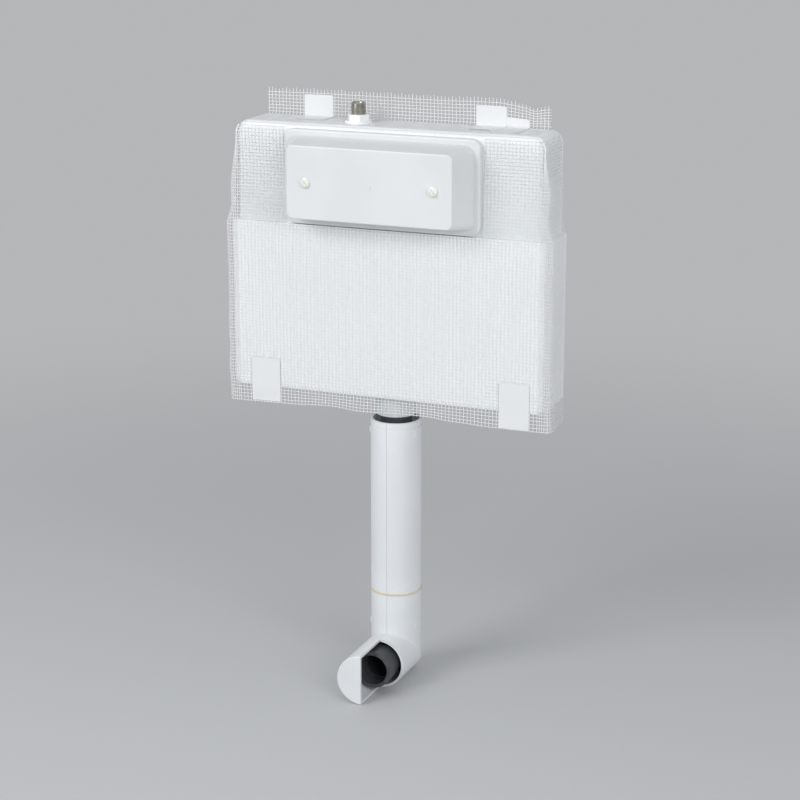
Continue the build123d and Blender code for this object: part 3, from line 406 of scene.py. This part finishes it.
# %% [markdown]
# The net is the piece that most needs its real fineness. It is one sheet of coated glass fibre,
# with an upright strand every 5.3 mm and a cross strand every 4.7 mm. It climbs the front, goes
# over the top round the inlet, and stands up at the back, and its sides are folded round the
# tank. A texture with holes would look flat from the side, so each strand is a small closed tube
# that passes over and under its neighbours. First comes the course of the sheet's middle, as
# (out, z) points. It leaves the jacket a little below its rim and leans back to the tank's rounded
# edge. A place in the cloth is then (u, v): the distance across it from its middle, and the
# distance up along it.

# %% The course that the net follows
NET_NODES = (
    "mesh_below_box", "mesh_left_of_box", "mesh_right_of_box", "mesh_over_top", "mesh_top_flap",
    "mesh_side_left", "mesh_side_right")
NET_GAP = 0.14
LEAN_BELOW_RIM = 2.0
TANK_EDGE, EDGE_START = 9.0, 3
FLAP_BEND = 3.0
ARC_STEPS = 12
jacket_x, jacket_out, jacket_z = node_box("insulation_jacket")
tank_x, tank_out, tank_z = node_box("tank_shell")
net_low = node_box("mesh_below_box")[2][0]
flap_out = middle(node_box("mesh_top_flap")[1])
flap_top = node_box("mesh_top_flap")[2][1]
flap_low = tank_z[1] + NET_GAP + FLAP_BEND
front_out = jacket_out[1] + NET_GAP


def arc(centre, radius, first, last):
    """Points on an arc between two angles in degrees."""
    angles = (radians(first + (last - first) * k / ARC_STEPS) for k in range(ARC_STEPS + 1))
    return [(centre[0] + radius * cos(a), centre[1] + radius * sin(a)) for a in angles]


course = [(front_out, net_low), (front_out, jacket_z[1] - LEAN_BELOW_RIM)]
course += arc(
    (tank_out[1] - TANK_EDGE, tank_z[1] - TANK_EDGE), TANK_EDGE + NET_GAP, EDGE_START, 90)
top_start = len(course) - 1
course += arc((flap_out + FLAP_BEND, flap_low), FLAP_BEND, 270, 180)
flap_start = len(course) - 1
course.append((flap_out, flap_top))
course_v = [net_low]
for before, after in zip(course, course[1:]):
    course_v.append(course_v[-1] + (Vector(after) - Vector(before)).length)
top_v, flap_v, net_high = course_v[top_start], course_v[flap_start], course_v[-1]


def course_point(v):
    k = 0
    while k < len(course) - 2 and course_v[k + 1] < v:
        k += 1
    share = (v - course_v[k]) / (course_v[k + 1] - course_v[k])
    return tuple(a + (b - a) * share for a, b in zip(course[k], course[k + 1]))


print("cloth from", round(net_low), "to", round(net_high), "mm, flap from", round(flap_v))

# %% [markdown]
# The sides leave the front at a soft fold. They stand off the jacket, which they are folded round
# loosely, and hug the tank's corner at the top. The two folds are short lists of (aside, back)
# points, with a smooth curve through them. The cloth is slack up to just below the jacket's rim.
# Further up it hugs the tank more and more, and its crumples calm down. Cloth never lies quite
# flat, so smooth noise lets each part of it wander by a millimetre or two: its size, its two
# reaches in millimetres and its seed are given together.

# %% The folded sides
FOLD_START = 226.0
FOLD_BY_JACKET = ((0, 0), (10, 0.3), (16, -3.1), (18, -14.6), (16, -40.6), (13, -69.6))
FOLD_BY_TANK = ((0, 0), (6, -0.4), (10, -5), (10.5, -17), (9, -40), (8, -66))
SIDE_LENGTH = 84.0
NEARLY_ALL = 0.9999
TANK_CORNER = 18.0
SLACK_BELOW_RIM, SLACK_OVER = 6.0, 26.0
HUG_FROM, HUG_OVER, HUG = 105.0, 60.0, 0.68
CALM_FROM, CALM_OVER = 130.0, 40.0
CRUMPLE = (1.6, 30, 38, 1.7)
corner_x, corner_z = tank_x[1] - TANK_CORNER, tank_z[1] - TANK_CORNER


def smoothstep(value):
    share = min(1.0, max(0.0, value))
    return share * share * (3 - 2 * share)


def wander(wave, a, b, seed_step=0):
    size, reach_a, reach_b, seed = wave
    return size * noise.noise(Vector((a / reach_a, b / reach_b, seed + seed_step)))


def fold_point(line, length):
    """The point at a length along a fold, on a Catmull-Rom curve through the fold's points."""
    share = min(NEARLY_ALL, max(0.0, length / SIDE_LENGTH)) * (len(line) - 1)
    k = int(share)
    t = share - k
    p0, p1, p2, p3 = (line[min(len(line) - 1, max(0, k + j))] for j in (-1, 0, 1, 2))
    return tuple(
        0.5 * (2 * b + (c - a) * t + (2 * a - 5 * b + 4 * c - d) * t * t
               + (3 * b - a - 3 * c + d) * t ** 3)
        for a, b, c, d in zip(p0, p1, p2, p3))


def folded(u, v):
    """A side's x, how far out it lies from the front, and its z."""
    side = 1 if u >= 0 else -1
    length = abs(u) - FOLD_START
    slack = 1 - smoothstep((v - jacket_z[1] + SLACK_BELOW_RIM) / SLACK_OVER)
    aside, back = (
        a + (b - a) * slack
        for a, b in zip(fold_point(FOLD_BY_TANK, length), fold_point(FOLD_BY_JACKET, length)))
    aside *= 1 - HUG * smoothstep((v - HUG_FROM) / HUG_OVER)
    aside += wander(CRUMPLE, back, v, side) * (1 - smoothstep((v - CALM_FROM) / CALM_OVER))
    radius = FOLD_START + aside - corner_x
    turn = max(0.0, v - corner_z) / radius
    return side * (corner_x + radius * cos(turn)), back, min(v, corner_z) + radius * sin(turn)


print("side's far edge at mid height, mm:", [round(c) for c in folded(FOLD_START + SIDE_LENGTH, 0)])

# %% [markdown]
# One function then gives every point of the sheet. The edges of the two free flaps were cut by
# hand and are uneven, so each follows a line of (x, height) points. Noise makes both flaps wavy in
# depth, and the cloth that lies on the cistern stays flat in depth.

# %% The whole sheet
TOP_EDGE = (
    (-210, 225), (-105, 226), (-72, 225.6), (-31, 225.5), (21, 225.3), (65, 225.4),
    (103, 226.7), (138, 226.4), (155, 223.8), (174, 220.1), (188, 215.4), (210, 219.4))
BOTTOM_EDGE = (
    (-232, -216), (-210, -215.5), (-150, -214), (-84, -210.5), (-38, -213.3), (56, -210.5),
    (106, -213.7), (158, -215.5), (214, -215.5), (232, -214.8))
HANG = 22.0
SWELL, RIPPLE, SKEW = (2.2, 60, 45, 3.1), (0.8, 22, 30, 8.4), (0.5, 35, 35, 5.0)


def along(line, x):
    """The height of a line of (x, height) points at x."""
    for (x0, h0), (x1, h1) in zip(line, line[1:]):
        if x <= x1:
            return h0 + (h1 - h0) * smoothstep((x - x0) / (x1 - x0))
    return line[-1][1]


def sheet_place(u, v):
    """A point of the sheet, as (x, out, z)."""
    out, z = course_point(v)
    x = u
    if abs(u) > FOLD_START:
        x, back, z = folded(u, v)
        out += back
    above = smoothstep((v - flap_v) / (net_high - flap_v))
    below = smoothstep((jacket_z[0] - v) / HANG)
    out += (above + below) * (wander(SWELL, x, v) + wander(RIPPLE, x, v))
    if v > flap_v:
        z = flap_low + (z - flap_low) * (along(TOP_EDGE, x) - flap_low) / (flap_top - flap_low)
    if below:
        z += (along(BOTTOM_EDGE, x) - net_low) * below
    x += wander(SKEW, x, v)
    return Vector((x, out, z))


print("a lower corner, mm:", [round(c) for c in sheet_place(FOLD_START, net_low)])

# %% [markdown]
# Where is there cloth? Everywhere up to the cut edges, but not over the inspection box, not round
# the inlet, and not past the tank's rounded corner on the top. The sides end below the top, so
# that the cloth could be folded there at all.

# %% Where there is cloth
SIDE_TOP = 185.0
TOP_HALF = 209.0
BOX_MARGIN = 3.0
INLET_MARGIN = 2.0
box_x, box_out, box_z = node_box("inspection_box")
washer_x, washer_out, _ = node_box("inlet_washer")
inlet_middle = Vector((middle(washer_x), middle(washer_out)))
inlet_reach = half(washer_x) + INLET_MARGIN


def in_sheet(u, v):
    if not net_low <= v <= net_high:
        return False
    if abs(u) > FOLD_START:
        return abs(u) <= FOLD_START + SIDE_LENGTH and v <= SIDE_TOP
    if v > corner_z:
        rise = min(TANK_CORNER, v - corner_z)
        if abs(u) > max(TOP_HALF, corner_x + (TANK_CORNER ** 2 - rise ** 2) ** 0.5):
            return False
    if top_v < v < flap_v:
        return (Vector((u, course_point(v)[0])) - inlet_middle).length > inlet_reach
    return not (
        box_x[0] - BOX_MARGIN < u < box_x[1] + BOX_MARGIN
        and box_z[0] - BOX_MARGIN < v < box_z[1] + BOX_MARGIN)


print("cloth over the box:", in_sheet(middle(box_x), middle(box_z)), "below it:", in_sheet(0, 0))

# %% [markdown]
# A strand is a bundle of fibres that was pressed flat: seven times as wide as it is thick. Here it
# is a closed tube with four sides, flat on the sheet. To lie so, it has to know at each place which
# way the sheet faces, and that comes from the sheet's points a little to either side.

# %% A single strand
STRAND_WIDTH = 1.1
STRAND_THICKNESS = 0.16
STRAND_SECTION = ((1, 0), (0, 1), (-1, 0), (0, -1))
NEAR = 0.5
net_points, net_faces = [], []


def sheet_frame(u, v):
    """The way that the sheet faces at a point, and its directions across and up."""
    du = sheet_place(u + NEAR, v) - sheet_place(u - NEAR, v)
    dv = sheet_place(u, v + NEAR) - sheet_place(u, v - NEAR)
    return dv.cross(du).normalized(), du, dv


def add_strand(path, across):
    """A closed flat tube along (place, facing) pairs. across is its width's direction at each."""
    start, sides = len(net_points), len(STRAND_SECTION)
    for (place, facing), side in zip(path, across):
        half_width = side.normalized() * STRAND_WIDTH / 2
        for a, b in STRAND_SECTION:
            net_points.append(place + half_width * a + facing * (b * STRAND_THICKNESS / 2))
    for step in range(len(path) - 1):
        ring = start + sides * step
        for k in range(sides):
            after = (k + 1) % sides
            net_faces.append((ring + k, ring + after, ring + sides + after, ring + sides + k))
    last = start + sides * (len(path) - 1)
    net_faces.append(tuple(range(start + sides - 1, start - 1, -1)))
    net_faces.append(tuple(range(last, last + sides)))


print("the sheet faces, below the box:", [round(c, 2) for c in sheet_frame(0, 0)[0]])

# %% [markdown]
# The strands are laid one by one. Each is followed from crossing to crossing, and ends where the
# sheet ends, so the cut round the box and the hole for the inlet need no trimming. A strand runs
# past its last crossing by a millimetre or two, as cut glass fibre does. Along the top of the
# flap the last cross threads are gone, and the upright ones stand there like a comb. Ends vary by
# chance: each has a length, the least share of it, and the share that chance may add.

# %% Lay the strands
COLUMN_PITCH = 5.33
ROW_PITCH = 4.7
WEAVE = 0.05
COMB = 6.5
FRAYED, COMBED, SIDE_COMBED = (1.9, 0.6, 0.8), (COMB, 0.75, 0.35), (4.0, 0.7, 0.5)
CHANCE_SEED = 7
half_count = int((FOLD_START + SIDE_LENGTH) / COLUMN_PITCH)
row_count = int((net_high - COMB - net_low) / ROW_PITCH)
columns = [k * COLUMN_PITCH for k in range(-half_count, half_count + 1)]
rows = [net_low + k * ROW_PITCH for k in range(row_count + 1)]


def runs(flags):
    """The stretches of two or more true flags, as (first, end)."""
    start = None
    for k, flag in enumerate(list(flags) + [False]):
        if flag and start is None:
            start = k
        if not flag and start is not None:
            if k - start > 1:
                yield start, k
            start = None


def by_chance(length, least, spread):
    return length * (least + spread * noise.random())


def lay(fixed, stations, upright, phase):
    def place(station):
        return (fixed, station) if upright else (station, fixed)

    for first, last in runs(in_sheet(*place(s)) for s in stations):
        start = end = by_chance(*FRAYED)
        if upright and last == len(stations):
            end = by_chance(*COMBED)
        if not upright and fixed > flap_v:
            end = by_chance(*SIDE_COMBED)
        spots = [stations[first] - start, *stations[first:last], stations[last - 1] + end]
        path, across = [], []
        for k, spot in enumerate(spots):
            facing, du, dv = sheet_frame(*place(spot))
            lift = WEAVE * (-1) ** (k + first + phase) * (1 if upright else -1)
            path.append((sheet_place(*place(spot)) + facing * lift, facing))
            across.append(du if upright else dv)
        add_strand(path, across)


noise.seed_set(CHANCE_SEED)
for k, u in enumerate(columns):
    lay(u, rows, True, k)
for k, v in enumerate(rows):
    lay(v, columns, False, k)
net = make_piece("plaster_net", net_points, net_faces)
settle(net, "mesh_glass_fibre", CISTERN, *NET_NODES)
print("strands' points:", len(net_points))

# The cloth is the strands alone, so its flat area leaves out the gaps between them and
# whatever was cut away.

FLAT_HEIGHT = (net_high - net_low) * MM
open_share = (1 - STRAND_WIDTH / COLUMN_PITCH) * (1 - STRAND_WIDTH / ROW_PITCH)
crossings = sum(in_sheet(u, v) for u in columns for v in rows)
cut_area = COLUMN_PITCH * ROW_PITCH * MM * MM * crossings
cut_area * (1 - open_share)
print("cut area:", round(cut_area, 4), "open share:", round(open_share, 3))

# %% [markdown]
# Five pieces of white tape hold the net. Tape is a thin sheet that follows what it is stuck to,
# so each tab is a small grid that reads its place from the net's own sheet. The upper ones bend
# forward over the top, and one of them lies on another. Their free corners lift slightly. The
# tabs are left blank. Each is (middle, upper end, layer) in the cloth.

# %% The tape tabs
TAB_WIDTH = 44.0
TAB_LENGTH = 62.0
TAB_GRID = (12, 40)
TAB_GAP = 0.25
LAYER = 0.4
TAB_THICKNESS = 0.8 * LAYER
CORNER_LIFT = 0.4
CORNER_POWERS = (5, 9)


def flap_height(z):
    return flap_v + z - flap_low


TABS = (
    (-130.9, flap_height(217.5), 0), (126.3, flap_height(214.9), 1),
    (159.1, flap_height(201.6), 0), (-183.3, TAB_LENGTH - 212.4, 0),
    (190.6, TAB_LENGTH - 213.4, 0))


def tab_points(centre_u, high_v, layer):
    columns_across, rows_up = TAB_GRID
    for lift in (0.0, TAB_THICKNESS):
        for j in range(rows_up + 1):
            for i in range(columns_across + 1):
                u = centre_u + TAB_WIDTH * (i / columns_across - 0.5)
                v = high_v - TAB_LENGTH * (1 - j / rows_up)
                aside, up = abs(2 * i / columns_across - 1), abs(2 * j / rows_up - 1)
                corner = aside ** CORNER_POWERS[0] * up ** CORNER_POWERS[1]
                lifted = TAB_GAP + LAYER * layer + lift + CORNER_LIFT * corner
                yield sheet_place(u, v) + sheet_frame(u, v)[0] * lifted


def tab_faces(start):
    """The faces of a tab's two sides, and of the rim that joins them."""
    across, up = TAB_GRID

    def spot(i, j, side):
        return start + side * (across + 1) * (up + 1) + j * (across + 1) + i

    for j in range(up):
        for i in range(across):
            for side in (0, 1):
                yield (
                    spot(i, j, side), spot(i + 1, j, side),
                    spot(i + 1, j + 1, side), spot(i, j + 1, side))
    rim = [(i, 0) for i in range(across)] + [(across, j) for j in range(up)]
    rim += [(i, up) for i in range(across, 0, -1)] + [(0, j) for j in range(up, 0, -1)]
    for (i0, j0), (i1, j1) in zip(rim, rim[1:] + rim[:1]):
        yield spot(i0, j0, 0), spot(i1, j1, 0), spot(i1, j1, 1), spot(i0, j0, 1)


tape_points, tape_faces = [], []
for tab in TABS:
    tape_faces += tab_faces(len(tape_points))
    tape_points += tab_points(*tab)
settle(
    make_piece("tape_tabs", tape_points, tape_faces, smooth=False), "tape", CISTERN, "mesh_tabs")
print("tabs:", len(TABS), "their faces:", len(tape_faces))

# %% [markdown]
# The jacket is moulded with fine upright ribs, as far apart as the net's strands. They are cut,
# not drawn: a block with a rippled front is intersected with a copy of the jacket's own solid, so
# that the corners, the rim and the opening for the pipe stay exactly as they were. The block's
# crests lie a hair in front of the jacket, so that no two faces coincide.

# %% The ribbed jacket
RIB_PITCH = COLUMN_PITCH
RIB_STEPS = 8
RIB_DEPTH = 1.6
RIB_POWER = 0.8
HAIR = 0.001
OVERRUN = 4.0
WELD = 1e-6


def rippled_block():
    half_steps = int((jacket_x[1] + OVERRUN) / RIB_PITCH * RIB_STEPS)
    profile = []
    for k in range(-half_steps, half_steps + 1):
        x = k * RIB_PITCH / RIB_STEPS
        ripple = abs(cos(pi * x / RIB_PITCH)) ** RIB_POWER
        profile.append((x, jacket_out[1] + HAIR - RIB_DEPTH * (1 - ripple)))
    reach = profile[-1][0]
    profile += [(reach, -OVERRUN), (-reach, -OVERRUN)]
    count = len(profile)
    levels = (jacket_z[0] - OVERRUN, jacket_z[1] + OVERRUN)
    points = [(x, out, z) for z in levels for x, out in profile]
    faces = [tuple(range(count)), tuple(range(2 * count - 1, count - 1, -1))]
    faces += [(k, count + k, count + (k + 1) % count, (k + 1) % count) for k in range(count)]
    return make_piece("rippled_block", points, faces, smooth=False)


def own_copy(node, name):
    """A copy of a CAD node's object that no longer counts as CAD."""
    piece = frame["nodes"][node].copy()
    piece.data = piece.data.copy()
    piece.name = name
    piece.parent = None
    for key in list(piece.keys()):
        del piece[key]
    scene.collection.objects.link(piece)
    return piece


def make_jacket():
    block = rippled_block()
    piece = own_copy("insulation_jacket", "ribbed_jacket")
    reworked(
        piece.data, lambda work: bmesh.ops.remove_doubles(work, verts=work.verts, dist=WELD))
    cut = piece.modifiers.new("ribs", "BOOLEAN")
    cut.operation = "INTERSECT"
    cut.solver = "EXACT"
    cut.object = block
    carved = bpy.data.meshes.new_from_object(
        piece.evaluated_get(bpy.context.evaluated_depsgraph_get()))
    piece.modifiers.clear()
    piece.data = carved
    bpy.data.objects.remove(block)
    return piece


jacket = make_jacket()
settle(jacket, "jacket_foam", CISTERN, "insulation_jacket")
print("jacket faces:", len(jacket.data.polygons))

# %% [markdown]
# Turned pieces are lathe work: a closed outline of (radius, height) swung round an axis, which is
# either upright or points out from the wall. A function may give the radius another value at each
# angle.

# %% Lathe work
AROUND = 64


def turned(name, outline, centre, around=AROUND, radius_at=None, upright=True):
    points, faces = [], []
    count = len(outline)
    for k in range(around):
        angle = 2 * pi * k / around
        for r, h in outline:
            radius = radius_at(r, h, angle) if radius_at else r
            a, b = radius * cos(angle), radius * sin(angle)
            if upright:
                points.append((centre[0] + a, centre[1] + b, h))
            else:
                points.append((centre[0] + a, h, centre[1] + b))
    for k in range(around):
        after = (k + 1) % around
        for j in range(count):
            j1 = (j + 1) % count
            faces.append((k * count + j, after * count + j, after * count + j1, k * count + j1))
    return make_piece(name, points, faces)


print("the lathe's usual step, degrees:", 360 / AROUND)

# %% [markdown]
# The inlet is a plated stub with a half inch pipe thread. Its outline is turned, and the thread is
# a radius that depends on height and angle together, which makes a true helix. Below the nut it
# is a plain shank with the collar that holds it inside the tank.

# %% The threaded inlet
THREAD_PITCH = 1.814
THREAD_DEPTH = 1.1
THREAD_RADIUS = 10.475
THREAD_ROW = 0.3
THREAD_END = 0.9
TIP_RADIUS = 9.2
SHANK_RADIUS = 10.225
BORE_RADIUS = 7.0
BORE_BEVEL = 0.6
NUT_GAP = 0.1
COLLAR_BELOW_TOP, COLLAR_HEIGHT = 5.0, 4.0
nipple_x, nipple_out, nipple_z = node_box("inlet_nipple")
collar_radius = half(nipple_x)
collar_top = tank_z[1] - COLLAR_BELOW_TOP
collar_low = collar_top - COLLAR_HEIGHT
nut_top = node_box("inlet_nut")[2][1]
thread_low, thread_high = nut_top + NUT_GAP, nipple_z[1] - THREAD_END
thread_rows = int((thread_high - thread_low) / THREAD_ROW)


def thread_radius(radius, height, angle):
    if radius != THREAD_RADIUS:
        return radius
    turn = (height / THREAD_PITCH - angle / (2 * pi)) % 1
    return radius - THREAD_DEPTH * abs(2 * turn - 1)


inlet_outline = [
    (BORE_RADIUS, nipple_z[0]), (SHANK_RADIUS, nipple_z[0]), (SHANK_RADIUS, collar_low),
    (collar_radius, collar_low), (collar_radius, collar_top), (SHANK_RADIUS, collar_top),
    (SHANK_RADIUS, thread_low - NUT_GAP)]
inlet_outline += [
    (THREAD_RADIUS, thread_low + (thread_high - thread_low) * k / thread_rows)
    for k in range(thread_rows + 1)]
inlet_outline += [
    (TIP_RADIUS, nipple_z[1]), (BORE_RADIUS + BORE_BEVEL, nipple_z[1]),
    (BORE_RADIUS, nipple_z[1] - BORE_BEVEL)]
inlet = turned(
    "threaded_inlet", inlet_outline, (middle(nipple_x), middle(nipple_out)),
    radius_at=thread_radius)
settle(inlet, "brass", CISTERN, "inlet_nipple")
print("turns of thread:", round((thread_high - thread_low) / THREAD_PITCH, 1))

# %% [markdown]
# The elastic band holds the two halves of the pipe's shell together at their joint. Its section is
# a flat oval, because it is stretched, and the lathe swings that round the pipe.

# %% The elastic band
BAND_HALF_THICKNESS, BAND_HALF_HEIGHT = 0.5, 1.45
BAND_SIDES, BAND_AROUND = 16, 96
band_x, band_out, band_z = node_box("joint_band")
band_outline = [
    (half(band_x) - BAND_HALF_THICKNESS + BAND_HALF_THICKNESS * cos(2 * pi * k / BAND_SIDES),
     middle(band_z) + BAND_HALF_HEIGHT * sin(2 * pi * k / BAND_SIDES))
    for k in range(BAND_SIDES)]
band = turned(
    "elastic_band", band_outline, (middle(band_x), middle(band_out)), around=BAND_AROUND)
settle(band, "band_elastic", CISTERN, "joint_band")
print("band's radius, mm:", round(half(band_x), 1))

# %% [markdown]
# The two fasteners of the box are milky nylon: a domed disc with a rounded wing to turn them by.
# The disc and its peg are lathe work along the depth. The wing is a blade whose outline is rounded
# in front and whose section, as (half width, share of the height), is narrower at its tip. A share
# of nothing is the blade's foot, which sits in the disc's dome at one height.

# %% The wing fasteners
BOX_FACE_INSET = 0.6
ON_AXIS = 0.01
PEG_RADIUS, PEG_TIP_RADIUS, PEG_BEVEL = 3.0, 2.4, 0.8
DISC = ((7.3, 0), (7.5, 0.5), (7.3, 1.5), (6.6, 2.3), (5.2, 2.85), (3.0, 3.1), (ON_AXIS, 3.15))
DISC_AROUND = 48
WING_TURN = 55.0
WING_STEPS = 14
WING_REACH = 6.4
WING_BASE, WING_SHOULDER, WING_RISE = 2.4, 3.0, 3.9
WING_SECTION = ((1.6, 0), (1.5, 0.7), (0.9, 1), (-0.9, 1), (-1.5, 0.7), (-1.6, 0))
box_face = box_out[1] - BOX_FACE_INSET


def make_disc(name, centre, peg_end):
    outline = [
        (ON_AXIS, peg_end), (PEG_TIP_RADIUS, peg_end), (PEG_RADIUS, peg_end + PEG_BEVEL),
        (PEG_RADIUS, box_face)]
    outline += [(radius, box_face + level) for radius, level in DISC]
    return turned(name, outline, centre, around=DISC_AROUND, upright=False)


def make_wing(name, centre):
    turn = radians(WING_TURN)
    points, faces = [], []
    for k in range(WING_STEPS + 1):
        s = -1 + 2 * k / WING_STEPS
        reach, height = WING_REACH * s, WING_SHOULDER + WING_RISE * (1 - s ** 4) ** 0.5
        for width, share in WING_SECTION:
            level = height * share if share else WING_BASE
            points.append((
                centre[0] + reach * cos(turn) + width * sin(turn), box_face + level,
                centre[1] - reach * sin(turn) + width * cos(turn)))
    sides = len(WING_SECTION)
    for ring in range(0, sides * WING_STEPS, sides):
        for j in range(sides):
            j1 = (j + 1) % sides
            faces.append((ring + j, ring + j1, ring + sides + j1, ring + sides + j))
    faces.append(tuple(range(sides - 1, -1, -1)))
    faces.append(tuple(range(sides * WING_STEPS, sides * (WING_STEPS + 1))))
    return make_piece(name, points, faces)


for side in ("left", "right"):
    screw = "box_screw_" + side
    screw_x, screw_out, screw_z = node_box(screw)
    screw_centre = (middle(screw_x), middle(screw_z))
    disc = make_disc("wing_fastener_" + side, screw_centre, screw_out[0])
    wing = make_wing("wing_fastener_" + side + "_wing", screw_centre)
    settle(disc, "screw_plastic", side + "_box_screw", screw)
    settle(wing, "screw_plastic", side + "_box_screw")
    print(screw, "at x", round(screw_centre[0], 1), "mm")

# %% [markdown]
# The camera stands where the photograph's did. Its place, turn and lens were found by matching the
# cistern's corners and widths.

# %% The camera
CAMERA_PLACE = (1.1049, -2.7452, 0.6139)
LOOK_DOWN, LOOK_ASIDE = 15.63, 22.1
SENSOR_WIDTH, LENS = 36, 96.33
camera = bpy.data.objects.new("camera", bpy.data.cameras.new("camera"))
scene.collection.objects.link(camera)
camera.location = CAMERA_PLACE
camera.rotation_euler = (radians(90 - LOOK_DOWN), 0, radians(LOOK_ASIDE))
camera.data.sensor_width = SENSOR_WIDTH
camera.data.lens = LENS
scene.camera = camera
print("camera's distance, m:", round(Vector(CAMERA_PLACE).length, 2))

# %% [markdown]
# The floor is plain and pale. A backdrop would stand in the way of a view from behind, so there is
# none: the floor takes the object's shadow, and fades with distance into a world of like shade.

# %% The floor
FLOOR_REACH = 4.0 / MM
FLOOR_GAP = 0.5
FADE_FROM, FADE_TO = 0.4, 2.4
floor_z = cad_low.z / MM - FLOOR_GAP
floor_corners = [
    (x * FLOOR_REACH, out * FLOOR_REACH, floor_z)
    for x, out in ((-1, -1), (1, -1), (1, 1), (-1, 1))]
floor = make_piece("floor", floor_corners, [(0, 1, 2, 3)])
ground = Recipe("floor", Base_Color=(0.56, 0.57, 0.58), Roughness=0.8)
distance = ground.node("VectorMath", {"operation": "LENGTH"}, {0: ground.place}, pick="Value")
ground.plug(
    ground.tree.nodes["Material Output"].inputs["Surface"],
    ground.node("MixShader", {}, {
        0: ground.window(distance, FADE_FROM, FADE_TO),
        1: Wire(ground, ground.shader.outputs[0]),
        2: ground.node("BsdfTransparent")}))
floor.data.materials.append(ground.material)
print("floor at, mm:", round(floor_z, 1))

# %% [markdown]
# Three soft lamps light the object as in the photograph: mostly from the front left and above,
# with a weaker one from the right and a faint one over the top. Sizes are in metres and powers in
# watts.

# %% The lamps
AIM = Vector((0, 0, -0.15))


def lamp(name, place, size, watts):
    data = bpy.data.lights.new(name, "AREA")
    data.size = size
    data.energy = watts
    light = bpy.data.objects.new(name, data)
    light.location = place
    light.rotation_euler = (AIM - Vector(place)).to_track_quat("-Z", "Y").to_euler()
    scene.collection.objects.link(light)


lamp("key", place=(-1.3, -2.1, 1.2), size=1.4, watts=35)
lamp("fill", place=(1.9, -1.8, 0.7), size=1.6, watts=25)
lamp("top", place=(0.1, -0.3, 1.9), size=1.2, watts=2)
print("lamps:", len(bpy.data.lights))

# %% [markdown]
# The world lights the object too. What the camera sees of it, and what gloss and clear plastic
# show of it, is a shade of its own, so that the background can be set without changing the light.

# %% The world
LIGHT_SHADE, LIGHT_STRENGTH = (0.95, 0.975, 1.0), 0.46
SEEN_SHADE = (0.46, 0.47, 0.48)
world = bpy.data.worlds.new("studio")
world.use_nodes = True
sky = Graph(world.node_tree)
light = sky.tree.nodes["Background"]
sky.plug(light.inputs["Color"], LIGHT_SHADE)
sky.plug(light.inputs["Strength"], LIGHT_STRENGTH)
seen_share = sky.node("LightPath", pick="Is Camera Ray")
for ray in ("Is Glossy Ray", "Is Transmission Ray"):
    seen_share = sky.node("Math", {"operation": "ADD", "use_clamp": True}, {
        0: seen_share, 1: sky.node("LightPath", pick=ray)})
sky.plug(
    sky.tree.nodes["World Output"].inputs["Surface"],
    sky.node("MixShader", {}, {
        0: seen_share, 1: Wire(sky, light.outputs[0]),
        2: sky.node("Background", {}, {"Color": SEEN_SHADE})}))
scene.world = world
scene.view_settings.view_transform = "Standard"
print("world's nodes:", len(sky.tree.nodes))
